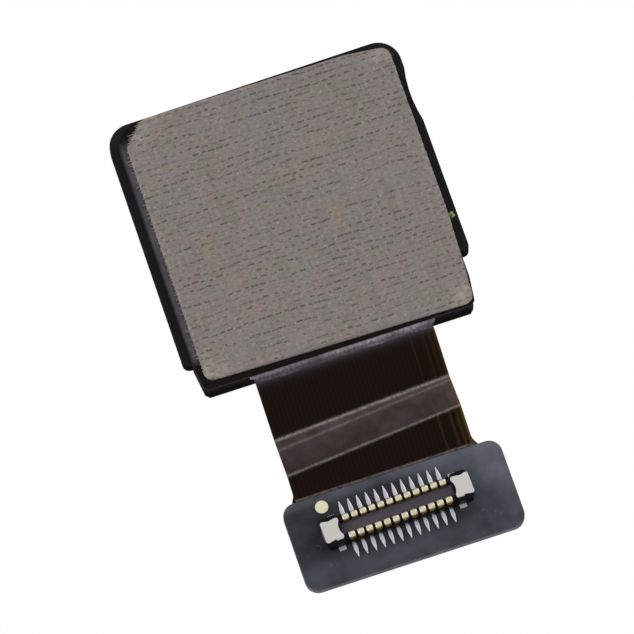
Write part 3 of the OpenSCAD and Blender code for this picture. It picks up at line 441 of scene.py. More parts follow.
def cured_adhesive(name, dark, pale):
    """Dispensed gray adhesive, cured in air. Gives a lumpy, half-dull skin, with painted highlight on
    the tops of the lumps.
    """
    material, tree = blank(name)
    place = add(tree, "ShaderNodeTexCoord").outputs["Object"]
    lumps = add(tree, "ShaderNodeTexNoise", {"Vector": place, "Scale": every(0.16), "Detail": 4.0})
    # Painted highlight: the tops of the lumps are painted in the pale tone.
    pick = add(tree, "ShaderNodeMapRange", {0: lumps, 1: 0.35, 2: 0.68})
    colour = add(tree, "ShaderNodeMix", {0: pick, 6: linear(dark), 7: linear(pale)},
                 data_type="RGBA")
    skin = add(tree, "ShaderNodeBump", {"Height": lumps, "Distance": 0.02 * MM, "Strength": 0.8})
    shader = add(tree, "ShaderNodeBsdfPrincipled", {
        "Base Color": colour, "Roughness": 0.45, "Specular IOR Level": 0.4, "Normal": skin,
    })
    add(tree, "ShaderNodeOutputMaterial", {"Surface": shader})
    return material


def root_adhesive():
    """Dispensed gray adhesive, cured in air. Gives a lilac-gray painted highlight along the crest by
    the board, streaked across, that falls off to the dark brown of the thin skirt over the ribbon."""
    material, tree = blank("root_adhesive")
    place = add(tree, "ShaderNodeTexCoord").outputs["Object"]
    across = add(tree, "ShaderNodeMapping", {"Vector": place, "Scale": (1.0, 0.4, 1.0)})
    streaks = add(tree, "ShaderNodeTexNoise", {"Vector": across, "Scale": every(0.09), "Detail": 3.0})
    # Painted highlight: the crest mark lifts the colour to lilac-gray along the crest.
    crest = add(tree, "ShaderNodeAttribute", attribute_name="crest").outputs["Fac"]
    uneven = add(tree, "ShaderNodeMapRange", {0: streaks, 1: 0.3, 2: 0.7, 3: 0.5, 4: 1.25})
    bright = add(tree, "ShaderNodeMath", {0: crest, 1: uneven}, operation="MULTIPLY")
    colour = add(tree, "ShaderNodeMix", {0: bright, 6: linear("#241e20"), 7: linear("#b7b4be")},
                 data_type="RGBA")
    skin = add(tree, "ShaderNodeBump", {"Height": streaks, "Distance": 0.01 * MM, "Strength": 0.5})
    shader = add(tree, "ShaderNodeBsdfPrincipled", {
        "Base Color": colour, "Roughness": 0.55, "Specular IOR Level": 0.15, "Normal": skin,
    })
    add(tree, "ShaderNodeOutputMaterial", {"Surface": shader})
    return material


def plated(name, bright, dull, roughness, spot_mm=0.3, metal=1.0):
    """Plated metal. Gives a soft metallic shine with slightly duller spots."""
    material, tree = blank(name)
    place = add(tree, "ShaderNodeTexCoord").outputs["Object"]
    spots = add(tree, "ShaderNodeTexNoise", {"Vector": place, "Scale": every(spot_mm), "Detail": 3.0})
    colour = add(tree, "ShaderNodeMix", {0: spots, 6: linear(bright), 7: linear(dull)},
                 data_type="RGBA")
    rough = add(tree, "ShaderNodeMapRange", {0: spots, 3: roughness - 0.1, 4: roughness + 0.1})
    shader = add(tree, "ShaderNodeBsdfPrincipled", {
        "Base Color": colour, "Metallic": metal, "Roughness": rough,
    })
    add(tree, "ShaderNodeOutputMaterial", {"Surface": shader})
    return material


def gilded_contact():
    """Copper alloy strip under gold flash. Gives pale gold crests, a painted highlight, that fall off
    to a golden brown down the sides, a painted reflection of the plug's dark walls."""
    material, tree = blank("gold_flash")
    place = add(tree, "ShaderNodeTexCoord").outputs["Object"]
    spots = add(tree, "ShaderNodeTexNoise", {"Vector": place, "Scale": every(0.2), "Detail": 3.0})
    height = add(tree, "ShaderNodeSeparateXYZ", {0: place}).outputs["Z"]
    # Painted light: above this height the contact is painted pale, a painted highlight; below it
    # golden brown, a painted reflection of the dark walls.
    crest = add(tree, "ShaderNodeMapRange", {0: height, 1: 4.935 * MM, 2: 4.982 * MM})
    bright = add(tree, "ShaderNodeMix", {0: spots, 6: linear("#fffbe2"), 7: linear("#f3e8c2")},
                 data_type="RGBA")
    colour = add(tree, "ShaderNodeMix", {0: crest, 6: linear("#94702f"), 7: bright},
                 data_type="RGBA")
    shader = add(tree, "ShaderNodeBsdfPrincipled", {
        "Base Color": colour, "Metallic": 0.75, "Roughness": 0.35,
    })
    add(tree, "ShaderNodeOutputMaterial", {"Surface": shader})
    return material


def black_nickel_can():
    """Steel can, deep drawn and black coated. Gives a smooth satin skin with faint draw lines."""
    material, tree = blank("black_nickel_can")
    place = add(tree, "ShaderNodeTexCoord").outputs["Object"]
    stretched = add(tree, "ShaderNodeMapping", {"Vector": place, "Scale": (1.0, 1.0, 0.15)})
    lines = add(tree, "ShaderNodeTexNoise",
                {"Vector": stretched, "Scale": every(0.12), "Detail": 3.0})
    colour = add(tree, "ShaderNodeMix", {0: lines, 6: linear("#222123"), 7: linear("#343336")},
                 data_type="RGBA")
    rough = add(tree, "ShaderNodeMapRange", {0: lines, 3: 0.28, 4: 0.45})
    skin = add(tree, "ShaderNodeBump", {"Height": lines, "Distance": 0.002 * MM, "Strength": 0.5})
    shader = add(tree, "ShaderNodeBsdfPrincipled", {
        "Base Color": colour, "Metallic": 0.6, "Roughness": rough, "Normal": skin,
    })
    add(tree, "ShaderNodeOutputMaterial", {"Surface": shader})
    return material


def coated_resin(name, tint, sheen):
    """Moulded optical resin with a reflection coating. Gives a dark glassy eye, tinted from green
    to violet in slow ripples across the surface, a painted glint of the coating."""
    material, tree = blank(name)
    place = add(tree, "ShaderNodeTexCoord").outputs["Object"]
    ripple = add(tree, "ShaderNodeTexNoise", {"Vector": place, "Scale": every(2.0), "Detail": 1.0})
    # Painted reflection: the violet sheen tone stands in for the coating's glint.
    colour = add(tree, "ShaderNodeMix", {0: ripple, 6: linear(tint), 7: linear(sheen)},
                 data_type="RGBA")
    shader = add(tree, "ShaderNodeBsdfPrincipled", {
        "Base Color": colour, "Roughness": 0.04, "IOR": 1.53, "Transmission Weight": 0.85,
        "Specular IOR Level": 0.25, "Coat Weight": 0.25, "Coat Roughness": 0.03,
        "Coat Tint": linear("#9ab7ff"),
    })
    add(tree, "ShaderNodeOutputMaterial", {"Surface": shader})
    return material


def white_card():
    """Matt white card. Reads as pure white, keeps the module's soft shadow, and shows white in
    metal and glass."""
    material, tree = blank("white_card")
    rays = add(tree, "ShaderNodeLightPath")
    seen = add(tree, "ShaderNodeMath",
               {0: rays.outputs["Is Camera Ray"], 1: rays.outputs["Is Glossy Ray"]},
               operation="MAXIMUM")
    seen = add(tree, "ShaderNodeMath", {0: seen, 1: rays.outputs["Is Transmission Ray"]},
               operation="MAXIMUM")
    seen = add(tree, "ShaderNodeMath", {0: seen, 1: 0.98}, operation="MULTIPLY")
    card = add(tree, "ShaderNodeBsdfDiffuse", {"Color": linear("#fbfbfb")})
    white = add(tree, "ShaderNodeEmission", {"Color": (1.0, 1.0, 1.0, 1.0), "Strength": 1.0})
    shader = add(tree, "ShaderNodeMixShader", {0: seen, 1: card, 2: white})
    add(tree, "ShaderNodeOutputMaterial", {"Surface": shader})
    return material


CLOTH = woven_nickel_cloth()
THREAD = plated("bare_thread", "#aaa49b", "#6e6862", 0.6, 0.05, metal=0.2)
STEEL = blackened_steel()
SENSOR_LAMINATE = solder_mask("sensor_board_mask", "#121113", "#1a181a", 0.003)
# The plug board's paler bluish sheen towards the right and along its top and bottom edges is painted
# reflection.
PLUG_LAMINATE = solder_mask("plug_board_mask", "#25262b", "#3f4149", 0.2, "#6d707c", (
    ((1, 1.5, 0), -17.8, -13.8, 0.9), ((0, 1, 0), -11.5, -11.15, 0.5), ((0, -1, 0), 13.3, 13.9, 0.3),
))
# Painted light: up-facing faces of the holder, and the plug's low up-facing faces with its channel
# floor, are painted paler as lit from above.
HOLDER_POLYMER = moulded_polymer("holder_polymer", "#0e0d0e", 0.6, shine=0.003, lit="#2b2a2b")
PLUG_POLYMER = moulded_polymer("plug_polymer", "#141215", 0.5, 0.04, lit="#67616b", lit_below=4.65)
CARRIER_POLYMER = moulded_polymer("carrier_polymer", "#2a2a2d", 0.5)
BARREL_POLYMER = moulded_polymer("barrel_polymer", "#151517", 0.45, 0.04, 0.3, step_mm=0.3)
COVERLAY = coverlay_polyimide()
ROOT_ADHESIVE = root_adhesive()
TIP_ADHESIVE = cured_adhesive("tip_adhesive", "#4a413c", "#7d7069")
GOLD = gilded_contact()
GOLD_PAD = plated("gold_pad", "#ffffe0", "#fffad0", 0.5, metal=0.35)
TIN = plated("matt_tin", "#f3f1ee", "#e6e3df", 0.5)
SOLDERED_TIN = plated("soldered_tin", "#fbf9ff", "#cfcbd6", 0.4, 0.12)
CAN = black_nickel_can()
SILICON = plated("sensor_silicon", "#31474c", "#473f5a", 0.2, 1.5)
CHIP = moulded_polymer("chip_coating", "#232326", 0.35)
CERAMIC = plated("capacitor_ceramic", "#b08a60", "#8d6a45", 0.55)
PASTE = cured_adhesive("conductive_paste", "#7d7640", "#cfc68c")
MAGNET = plated("magnet_nickel", "#a4a6a9", "#86888c", 0.35)
SPRING = plated("spring_alloy", "#c79a55", "#a97d3c", 0.3)
WINDING = plated("coil_wire", "#b5622f", "#8f4a25", 0.35)
FILTER = coated_resin("filter_glass", "#9fc3bd", "#b58fa0")
RESIN = coated_resin("lens_resin", "#bfd4d2", "#c9b6d0")


# ---- taped back ----

def row_ends(node, heights):
    """Where a node, seen along the axis, begins and ends in X at each of some values of Y."""
    points = [Vector(v.co.xy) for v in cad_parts[node].data.vertices]
    hull = [points[i] for i in convex_hull_2d(points)]
    ends = []
    for y in heights:
        crossings = [
            a.x + (b.x - a.x) * (y - a.y) / (b.y - a.y)
            for a, b in zip(hull, hull[1:] + hull[:1]) if (a.y - y) * (b.y - y) <= 0 and a.y != b.y
        ]
        ends.append((min(crossings), max(crossings)))
    return np.array(ends)


def woven_back():
    """The cloth tape: threads over and under each other, its edges cut by hand and rubbed."""
    low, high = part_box("back_tape")
    warp, weft = 0.31 * MM, 0.265 * MM     # thread spacing along X and along Y
    columns, rows = 290, 305
    rim = 0.002 * MM
    y = np.linspace(low.y + rim, high.y - rim, rows)[:, None]
    ends = row_ends("back_tape", y[:, 0])
    # The cut edges are a little ragged
    ragged = np.array([
        [noise.noise(Vector((k, a / (0.09 * MM), 0.5))) for k in (3.0, 8.0)] for a in y[:, 0]
    ])
    fray = 0.022 * MM
    left = ends[:, :1] + fray * (0.6 + ragged[:, :1])
    right = ends[:, 1:] - fray * (0.6 + ragged[:, 1:])
    x = left + (right - left) * np.linspace(0, 1, columns)[None, :]
    y = np.broadcast_to(y, x.shape)
    # The threads wander a little from straight
    wander = 0.05 * MM * np.sin(x / (1.9 * MM) + 0.6 * np.sin(y / (2.3 * MM)))
    u = (x + 0.04 * MM * np.sin(y / (1.3 * MM))) / warp
    v = (y + wander) / weft
    over = np.where((np.floor(u) + np.floor(v)) % 2 == 0, 1.0, -1.0)
    du, dv = u - np.floor(u) - 0.5, v - np.floor(v) - 0.5
    thread = 0.5 + 0.25 * over * (np.cos(np.pi * du) - np.cos(np.pi * dv))
    edge = np.minimum(np.minimum(x - left, right - x), np.minimum(y - low.y, high.y - y))
    spots = np.array([
        [noise.noise(Vector((a / (0.22 * MM), b / (0.15 * MM), 3.0))) for a, b in zip(ra, rb)]
        for ra, rb in zip(x, y)
    ])
    rub = (0.2 + 1.2 * spots) * (1 - smooth_step(edge, 0.02 * MM, 0.16 * MM))
    corners = (
        (low.x + 0.2 * MM, low.y + 0.4 * MM, 1.1), (high.x - 0.5 * MM, low.y + 0.3 * MM, 0.9),
        (low.x + 0.6 * MM, high.y - 0.5 * MM, 0.8), (high.x - 0.4 * MM, high.y - 0.3 * MM, 0.8),
    )
    for cx, cy, reach in corners:
        far = np.hypot(x - cx, y - cy) / (reach * MM)
        rub = np.maximum(rub, (0.35 + 0.9 * spots) * (1 - smooth_step(far, 0.2, 1)))
    rub = np.clip(rub, 0, 0.8)
    z = high.z - 0.010 * MM * (1 - thread)
    z = z - 0.04 * MM * (1 - smooth_step(edge, 0, 0.08 * MM))
    obj = closed_sheet("woven_back", np.stack([x, y, z], -1), low.z, {"rub": rub})
    dress(obj, CLOTH, "woven_tape", "module", "back_tape")
    loose_threads(low, high)


def loose_threads(low, high):
    """Weft threads that stick out of the clipped corner and of the left edge of the tape."""
    draw = np.random.default_rng(5)
    corner = high.y - np.linspace(0.1, 0.9, 11) * 0.94 * MM
    side = corner[-1] - np.cumsum(0.06 + 0.2 * draw.random(66)) * MM
    side = side[side > low.y + 0.6 * MM]
    heights = np.concatenate([corner, side])
    points, faces = [], []
    for y, (left, _) in zip(heights, row_ends("back_tape", heights)):
        limit = 0.22 if y >= corner[-1] else 0.13
        out = (0.02 + limit * draw.random() ** 2) * MM
        x = left + 0.06 * MM
        z = low.z + (0.03 + 0.04 * draw.random()) * MM
        path = [(x, z), (x - 0.06 * MM, z + 0.01 * MM), (x - 0.06 * MM - out, z - 0.015 * MM)]
        one_points, one_faces = strip(path, [0.05 * MM, 0.04 * MM, 0.015 * MM], 0.03 * MM, 6)
        base = len(points)
        points += [Vector((p.y, y + p.x, p.z)) for p in one_points]
        faces += [[base + i for i in face][::-1] for face in one_faces]
    obj = make("loose_threads", points, faces, 60)
    return dress(obj, THREAD, "woven_tape", "module", "back_tape")


def back_plates():
    """Stiffener plate and sensor board, with punched and routed edges."""
    plate = eased_copy("stiffener_plate", "stiffener_sheet", 0.03 * MM)
    dress(plate, STEEL, "plate_steel", "module", "stiffener_plate")
    board = eased_copy("sensor_board", "sensor_laminate", 0.03 * MM)
    dress(board, SENSOR_LAMINATE, "board_laminate", "module", "sensor_board")


def holder():
    """The moulded holder, its outer edges rounded by the mould."""
    obj = eased_copy("sensor_holder", "moulded_holder", 0.07 * MM, 3)
    return dress(obj, HOLDER_POLYMER, "moulded_black", "module", "sensor_holder")


def paste_dab():
    """A dab of conductive paste, pulled out along the edge of the flange."""
    low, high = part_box("ground_dab")
    middle = (low + high) / 2
    rings, sides = 8, 32
    points = []
    for i in range(rings + 1):
        climb = math.pi / 2 * i / rings
        for k in range(sides):
            turn = 2 * math.pi * k / sides
            wobble = 1 - 0.09 * (2 + math.sin(3 * turn + 1) + math.sin(5 * turn)) * math.cos(climb)
            points.append((
                middle.x + 0.5 * (high.x - low.x) * math.cos(turn) * math.cos(climb) * wobble,
                middle.y + 0.5 * (high.y - low.y) * math.sin(turn) * math.cos(climb) * wobble,
                low.z + (high.z - low.z) * math.sin(climb) ** 1.5,
            ))
    faces = [list(range(sides - 1, -1, -1))]
    for i in range(rings):
        for k in range(sides):
            a, b = i * sides + k, i * sides + (k + 1) % sides
            faces.append([a, b, b + sides, a + sides])
    obj = make("paste_dab", points, faces, 60)
    return dress(obj, PASTE, "gold_paste", "module", "ground_dab")


# ---- flex ribbon ----

def ribbon():
    """The folded flex ribbon. Its two folds run slightly askew, and each has a pale line along it:
    coverlay whitened by the fold, with painted highlight.
    """
    low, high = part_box("flex_ribbon")
    root_y, tip_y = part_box("sensor_board")[0].y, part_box("connector_board")[1].y
    half = 3.425 * MM
    thick = 0.12 * MM
    length = root_y - tip_y
    columns, rows = 130, 170
    s = np.linspace(-1, 1, columns)[None, :]
    d = np.linspace(0, length, rows)[:, None]
    d = np.broadcast_to(d, (rows, columns))
    # Distance of each fold from the root, at the left and right edges of the ribbon
    folds = {"first": (2.43, 2.09), "beside_first": (2.84, 2.26), "second": (3.92, 3.36)}
    at = {
        name: MM * (left * (1 - s) / 2 + right * (1 + s) / 2) for name, (left, right) in folds.items()
    }
    root_z, fall, rise = 4.75 * MM, 0.55 * MM, 0.3 * MM
    flat_root, flat_tip = 0.5 * MM, 0.4 * MM
    knots = [0 * s, flat_root + 0 * s, at["first"], at["second"], length - flat_tip + 0 * s,
             length + 0 * s]
    heights = [0, 0, -fall, rise - fall, -fall, -fall]
    z = np.zeros_like(d)
    for i in range(len(knots) - 1):
        inside = (d >= knots[i]) & (d <= knots[i + 1])
        share = np.clip((d - knots[i]) / (knots[i + 1] - knots[i]), 0, 1)
        z = np.where(inside, heights[i] + (heights[i + 1] - heights[i]) * share, z)
    # The folds have a small radius: average along the ribbon
    soft = 3
    padded = np.pad(z, ((soft, soft), (0, 0)), mode="edge")
    z = sum(padded[k:k + rows] for k in range(2 * soft + 1)) / (2 * soft + 1)
    # It widens in a small flare where it enters the plug board
    flare = 0.14 * MM * smooth_step(d, length - 0.5 * MM, length) ** 2
    x = s * half + np.sign(s) * np.abs(s) ** 12 * flare
    y = root_y - d
    top = np.stack([x, y, root_z + z + thick / 2], -1)
    bottom = np.stack([x, y, root_z + z - thick / 2], -1)
    # Pale lines along the folds: coverlay whitened by folding, with painted highlight.
    width = 0.055 * MM
    first = np.exp(-((d - at["first"]) / width) ** 2)
    beside = 0.35 * np.exp(-((d - at["beside_first"]) / width) ** 2)
    second = 0.7 * np.exp(-((d - at["second"]) / (0.8 * width)) ** 2)
    fold = np.clip(first + beside + second, 0, 1)
    # Painted sheen: the band between the folds is painted paler, as it tilts to the light. It fades
    # towards the second fold and is paler to the right.
    between = smooth_step(d, at["first"], at["first"] + 0.1 * MM)
    between = between * (1 - smooth_step(d, at["second"] - 0.1 * MM, at["second"]))
    fading = 1 - 0.45 * np.clip((d - at["first"]) / (at["second"] - at["first"]), 0, 1)
    painted_sheen = (0.82 + 0.14 * s) * between * fading
    from_right = half - x
    from_left = half + x
    amber = 0.6 * (1 - smooth_step(from_right, 0.05 * MM, 0.14 * MM))
    for place, strength in ((0.24, 0.35), (0.5, 0.28), (0.95, 0.2)):
        amber = amber + strength * np.exp(-((from_right - place * MM) / (0.035 * MM)) ** 2)
    amber = amber + 0.1 * (1 - smooth_step(from_left, 0.02 * MM, 0.1 * MM))
    amber = np.clip(amber, 0, 1) * (0.4 + 0.6 * smooth_step(d, at["first"], at["second"]))
    # A thin film of the root's adhesive runs out over the ribbon
    bead_end = root_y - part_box("root_bead")[0].y
    film = 0.75 * np.exp(-np.clip(d - 0.8 * bead_end, 0, 1) / (0.1 * MM))
    order = slice(None, None, -1)
    obj = closed_sheet(
        "folded_ribbon", top[order], bottom[order],
        {"fold": fold[order], "painted_sheen": painted_sheen[order], "amber": amber[order], "film": film[order]},
    )
    return dress(obj, COVERLAY, "polyimide", "module", "flex_ribbon")


def root_bead():
    """The adhesive bead at the ribbon's root: a crest against the board and a thin skirt."""
    low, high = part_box("root_bead")
    columns, rows = 220, 26
    s = np.linspace(0, 1, columns)[None, :]
    t = np.linspace(0, 1, rows)[:, None]

    def wave(size, seed):
        return np.array([[noise.noise(Vector((a * size, seed, 0.7))) for a in s[0]]])

    ends = smooth_step(s, 0, 0.06) * (1 - smooth_step(s, 0.97, 1))
    reach = (0.85 + 0.3 * wave(9, 1.0) + 0.1 * wave(40, 4.0)) * (0.25 + 0.75 * ends)
    reach = np.clip(reach, 0.1, 1)
    x = low.x + (high.x - low.x) * s + 0 * t
    # From the board (t = 1) the crest holds for a third of the way, then slopes to the ribbon
    far = (1 - t) * reach
    y = high.y - (high.y - low.y) * far
    crown = 1 - smooth_step(far, 0.15, 0.95 * reach + 0.02)
    z = low.z + (high.z - low.z) * np.clip(crown * (0.8 + 0.2 * ends + 0.15 * wave(25, 2.0)), 0.02, 1)
    width = (high.y - low.y) * far
    # Painted highlight: paler where the bead stands against the board, falling off down the skirt.
    crest = 0.3 + 0.7 * (1 - smooth_step(width, 0.06 * MM, 0.2 * MM))
    # Painted highlight: brightest to the right of the middle, dull at the left
    along = 0.6 + 0.5 * smooth_step(s, 0.3, 0.6) - 0.25 * smooth_step(s, 0.9, 1)
    along = along * (0.85 + 0.5 * wave(12, 3.0)) + 0.2 * (1 - smooth_step(s, 0, 0.04))
    crest = np.clip(crest * along, 0, 1)
    top = np.stack([x, y, z], -1)
    bottom = np.stack([x, y, np.full_like(x, low.z)], -1)
    obj = closed_sheet("glue_bead", top, bottom, {"crest": crest})
    return dress(obj, ROOT_ADHESIVE, "adhesive_gray", "module", "root_bead")


# ---- plug board ----

def rounded_outline(low, high, radius, steps=10):
    """Corners of a rounded rectangle between two corners, anticlockwise."""
    outline = []
    centres = (
        (high.x - radius, high.y - radius, 0), (low.x + radius, high.y - radius, 90),
        (low.x + radius, low.y + radius, 180), (high.x - radius, low.y + radius, 270),
    )
    for cx, cy, start in centres:
        for k in range(steps + 1):
            turn = math.radians(start + 90 * k / steps)
            outline.append((cx + radius * math.cos(turn), cy + radius * math.sin(turn)))
    return outline


def plug_board():
    low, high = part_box("connector_board")
    obj = prism("plug_laminate", rounded_outline(low, high, 0.5 * MM), low.z, high.z)
    ease(obj, 0.05 * MM, 3)
    return dress(obj, PLUG_LAMINATE, "plug_board_laminate", "module", "connector_board")


# ---- plug ----

def squared(value, roundness):
    """Pushes a point of the unit circle out towards the square round it."""
    return math.copysign(abs(value) ** roundness, value)


def strip(path, widths, thickness, sides=12, roundness=0.7):
    """Points and faces of a bent metal strip along a path of (y, z) points, centred on x = 0."""
    points, faces = [], []
    count = len(path)
    for i, (y, z) in enumerate(path):
        before, after = path[max(i - 1, 0)], path[min(i + 1, count - 1)]
        along = Vector((0, after[0] - before[0], after[1] - before[1])).normalized()
        normal = Vector((0, -along.z, along.y))
        for k in range(sides):
            turn = 2 * math.pi * (k + 0.5) / sides
            c, sn = math.cos(turn), math.sin(turn)
            side = widths[i] / 2 * squared(c, roundness)
            up = thickness / 2 * squared(sn, roundness)
            points.append(Vector((side, y, z)) + normal * up)
    for i in range(count - 1):
        for k in range(sides):
            a, b = i * sides + k, i * sides + (k + 1) % sides
            faces.append([a, b, b + sides, a + sides])
    faces.append(list(range(sides - 1, -1, -1)))
    faces.append([(count - 1) * sides + k for k in range(sides)])
    return points, faces


def bent(corners, radius, steps=4):
    """A path through the corners, each rounded by a short curve."""
    path = [corners[0]]
    for a, b, c in zip(corners, corners[1:], corners[2:]):
        a, b, c = Vector(a), Vector(b), Vector(c)
        start = b + (a - b).normalized() * radius
        end = b + (c - b).normalized() * radius
        for k in range(steps + 1):
            t = k / steps
            path.append(tuple((1 - t) ** 2 * start + 2 * t * (1 - t) * b + t * t * end))
    return path + [corners[-1]]


def row_of(name, path, widths, thickness, side):
    """Twelve equal strips side by side. side is 1 for the far row of the plug, -1 for the near."""
    low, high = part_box("plug_housing")
    middle = (low + high) / 2
    count, pitch = 12, 0.34 * MM
    turn = Matrix.Rotation(math.radians(1.5), 3, "Z")   # the plug sits slightly turned
    one_points, one_faces = strip(path, widths, thickness)
    points, faces = [], []
    for i in range(count):
        base = len(points)
        along = (i - (count - 1) / 2) * pitch
        for p in one_points:
            spot = turn @ Vector((p.x + along, side * p.y, 0))
            points.append((middle.x + spot.x, middle.y + spot.y, low.z + p.z))
        faces += [[base + k for k in face][::side] for face in one_faces]
    return make(name, points, faces, 60)


def contact_row(row, node, side):
    """A row of contacts: gilded where they go over the wall, tinned along their solder tails."""
    wall_out, wall_in, thick = 0.44 * MM, 0.26 * MM, 0.05 * MM
    top, tail_end = 0.57 * MM, 1.1 * MM
    half = thick / 2
    over = bent([
        (wall_out + half, 0.08 * MM), (wall_out + half, top - half), (wall_in - half, top - half),
        (wall_in - half, 0.24 * MM),
    ], 0.11 * MM, 6)
    gold = row_of("gilded_row_" + row, over, [0.24 * MM] * len(over), thick, side)
    dress(gold, GOLD, "gold_plate", "module", node)
    # A tail swells with its solder and runs out to a point
    share = np.linspace(0, 1, 12)
    start = wall_out + 0.01 * MM
    path = [(start + (tail_end - start) * t, half * (1 - 0.3 * t)) for t in share]
    widths = [MM * (0.1 + 0.07 * math.sin(math.pi * min(1.25 * t, 1)) ** 1.2
                    - 0.055 * smooth_step(t, 0.75, 1)) for t in share]
    tin = row_of("tinned_tails_" + row, path, widths, thick, side)
    return dress(tin, SOLDERED_TIN, "tin_plate", "module", node)


def plug():
    """The plug: moulded body, two rows of contacts and a metal hold-down over each end."""
    housing = eased_copy("plug_housing", "moulded_plug", 0.02 * MM)
    dress(housing, PLUG_POLYMER, "moulded_black", "module", "plug_housing")
    contact_row("far", "contacts_far", 1)
    contact_row("near", "contacts_near", -1)
    for side in ("left", "right"):
        plate = eased_copy("hold_down_" + side, "tinned_hold_down_" + side, 0.015 * MM)
        dress(plate, TIN, "tin_plate", "module", "hold_down_" + side)


# ---- leaf springs ----

def polar_sheet(name, profile, z0, z1, side=0):
    """A flat sheet between two radii at each turn about the axis: (degrees, inner, outer).

    A profile that goes all the way round closes on itself. side keeps half a spring, on the
    right (1) or the left (-1), clear of the slit between the halves.
    """
    points, faces = [], []
    for degrees, inner, outer in profile:
        turn = math.radians(degrees)
        for r, z in ((inner, z0), (outer, z0), (outer, z1), (inner, z1)):
            x = r * math.cos(turn)
            if side:
                x = side * max(side * x, 0.1 * MM)
            points.append((x, r * math.sin(turn), z))
    count = len(profile)
    whole = profile[-1][0] - profile[0][0] > 350
    for i in range(count if whole else count - 1):
        a, b = 4 * i, 4 * ((i + 1) % count)
        faces += [[a + k, b + k, b + (k + 1) % 4, a + (k + 1) % 4] for k in range(4)]
    if not whole:
        end = 4 * (count - 1)
        faces += [[0, 1, 2, 3], [end + 3, end + 2, end + 1, end]]
    return make(name, points, faces)


def spring_edge(degrees, half):
    """Radius of the spring's outer edge: a square with its corners cut off for the posts."""
    corner_cut = 4.32 * MM
    across = abs(math.cos(math.radians(degrees)))
    along = abs(math.sin(math.radians(degrees)))
    return min(half / max(across, along), corner_cut * math.sqrt(2) / (across + along))


def leaf_spring(node, side=0):
    """An etched leaf spring: a ring held by the can, a hub on the carrier, and arms between them,
    drawn at rest.
    """
    low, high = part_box(node)
    z0, z1, half = low.z, high.z, high.y
    arm_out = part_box("coil")[1].x
    bore = arm_out + 0.06 * MM
    arm_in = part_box("lens_carrier")[1].x + 0.06 * MM
    hub_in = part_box("lens_barrel")[1].x + 0.04 * MM
    hub_out = hub_in + 0.28 * MM
    first, last = {0: (0, 357.5), 1: (-90, 90), -1: (90, 270)}[side]
    turns = np.linspace(first, last, 144 if side == 0 else 73).tolist()
    ring = polar_sheet(node + "_ring", [(t, bore, spring_edge(t, half)) for t in turns],
                       z0, z1, side)
    dress(ring, SPRING, "spring_alloy", "module", node)
    hub = polar_sheet(node + "_hub", [(t, hub_in, hub_out) for t in turns], z0, z1, side)
    dress(hub, SPRING, "spring_alloy", "lens_group", node)
    # Each arm is etched a little thinner, so that it flexes clear of the coil
    for start in {0: (2, 92, 182, 272), 1: (-88, 2), -1: (92, 182)}[side]:
        end = start + 64
        profile = [(start, hub_out, arm_out), (start + 1.6, hub_out, arm_out)]
        profile += [(t, arm_in, arm_out) for t in np.linspace(start + 2.2, end - 2.2, 25).tolist()]
        profile += [(end - 1.6, arm_in, bore), (end, arm_in, bore)]
        arm = polar_sheet(f"{node}_arm_{start % 360}", profile, z0, z1 - 0.01 * MM, side)
        arm.data.materials.append(SPRING)
        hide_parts(node)
        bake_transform(arm)


# ---- nodes that keep their own form ----

KEPT = {
    "image_sensor": SILICON, "ir_filter": FILTER, "capacitors": CERAMIC, "driver_chip": CHIP,
    "memory_chip": CHIP, "connector_bead": TIP_ADHESIVE, "locating_pad": GOLD_PAD,
    "shield_can": CAN, "actuator_base": HOLDER_POLYMER, "coil_terminals": TIN,
    "magnets": MAGNET, "front_frame": CARRIER_POLYMER, "lens_carrier": CARRIER_POLYMER,
    "coil": WINDING, "lens_barrel": BARREL_POLYMER, "lens_1": RESIN, "lens_2": RESIN,
    "lens_3": RESIN, "lens_4": RESIN, "lens_5": RESIN, "spacer_rings": BARREL_POLYMER,
    "retainer_ring": BARREL_POLYMER,
}


def finish_kept_nodes():
    for node, material in KEPT.items():
        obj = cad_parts[node]
        if not obj.material_slots:
            obj.data.materials.append(material)
        for place in obj.material_slots:
            place.material = material


# ---- studio ----

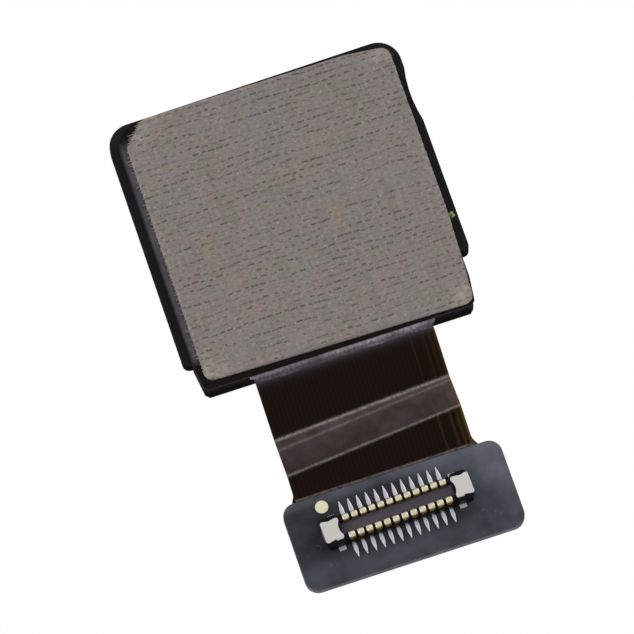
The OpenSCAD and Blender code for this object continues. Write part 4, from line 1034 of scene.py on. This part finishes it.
def camera():
    """Looks down on the taped back from the ribbon's side, a little from the left."""
    azimuth, elevation, roll = math.radians(-14.99), math.radians(71.09), math.radians(-3.62)
    distance = 200 * MM
    aim = Vector((0, -4, 4.5)) * MM
    out = Vector((
        math.sin(azimuth) * math.cos(elevation), -math.cos(azimuth) * math.cos(elevation),
        math.sin(elevation),
    ))
    right = (-out).cross(Vector((0, 0, 1))).normalized()
    up = right.cross(-out)
    image_right = right * math.cos(roll) + up * math.sin(roll)
    image_up = up * math.cos(roll) - right * math.sin(roll)
    data = bpy.data.cameras.new("camera")
    data.lens = 309.3
    data.sensor_width = 36.0
    data.clip_start = 0.01
    data.clip_end = 10
    obj = bpy.data.objects.new("camera", data)
    bpy.context.scene.collection.objects.link(obj)
    place = aim + out * distance
    # The module sits a little left of and above the middle of the picture
    centre = aim - image_right * 0.268 * MM - image_up * 0.646 * MM
    back = (place - centre).normalized()
    image_right = image_up.cross(back).normalized()
    image_up = back.cross(image_right)
    turn = Matrix((image_right, image_up, back)).transposed()
    obj.matrix_world = Matrix.Translation(place) @ turn.to_4x4()
    bpy.context.scene.camera = obj


def softbox(name, place, size, power):
    """A square lamp at a place, facing the module."""
    data = bpy.data.lights.new(name, "AREA")
    data.shape = "SQUARE"
    data.size = size
    data.energy = power
    obj = bpy.data.objects.new(name, data)
    obj.location = place
    obj.rotation_euler = Vector(place).to_track_quat("Z", "Y").to_euler()
    bpy.context.scene.collection.objects.link(obj)


def studio():
    softbox("softbox_left", (-0.35, -0.15, 0.4), 0.35, 0.55)
    softbox("softbox_right", (0.4, 0.25, 0.35), 0.35, 0.45)
    world = bpy.data.worlds.new("white_room")
    bpy.context.scene.world = world
    world.use_nodes = True
    tree = world.node_tree
    tree.nodes.clear()
    rays = add(tree, "ShaderNodeLightPath")
    room = add(tree, "ShaderNodeBackground", {"Color": (1.0, 1.0, 1.0, 1.0), "Strength": 0.55})
    white = add(tree, "ShaderNodeBackground", {"Color": (1.0, 1.0, 1.0, 1.0), "Strength": 1.0})
    shader = add(tree, "ShaderNodeMixShader", {0: rays.outputs["Is Camera Ray"], 1: room, 2: white})
    add(tree, "ShaderNodeOutputWorld", {"Surface": shader})
    half = 0.6
    floor = make("floor", [(-half, -half, 0), (half, -half, 0), (half, half, 0), (-half, half, 0)],
                 [[0, 1, 2, 3]])
    floor.location.z = cad_box[0][2] - 0.002 * MM
    floor.data.materials.append(white_card())


bpy.context.scene.view_settings.view_transform = "Standard"
camera()
woven_back()
back_plates()
holder()
paste_dab()
ribbon()
root_bead()
plug_board()
plug()
leaf_spring("front_spring")
leaf_spring("rear_spring_left", -1)
leaf_spring("rear_spring_right", 1)
finish_kept_nodes()
studio()
bpy.context.view_layer.update()
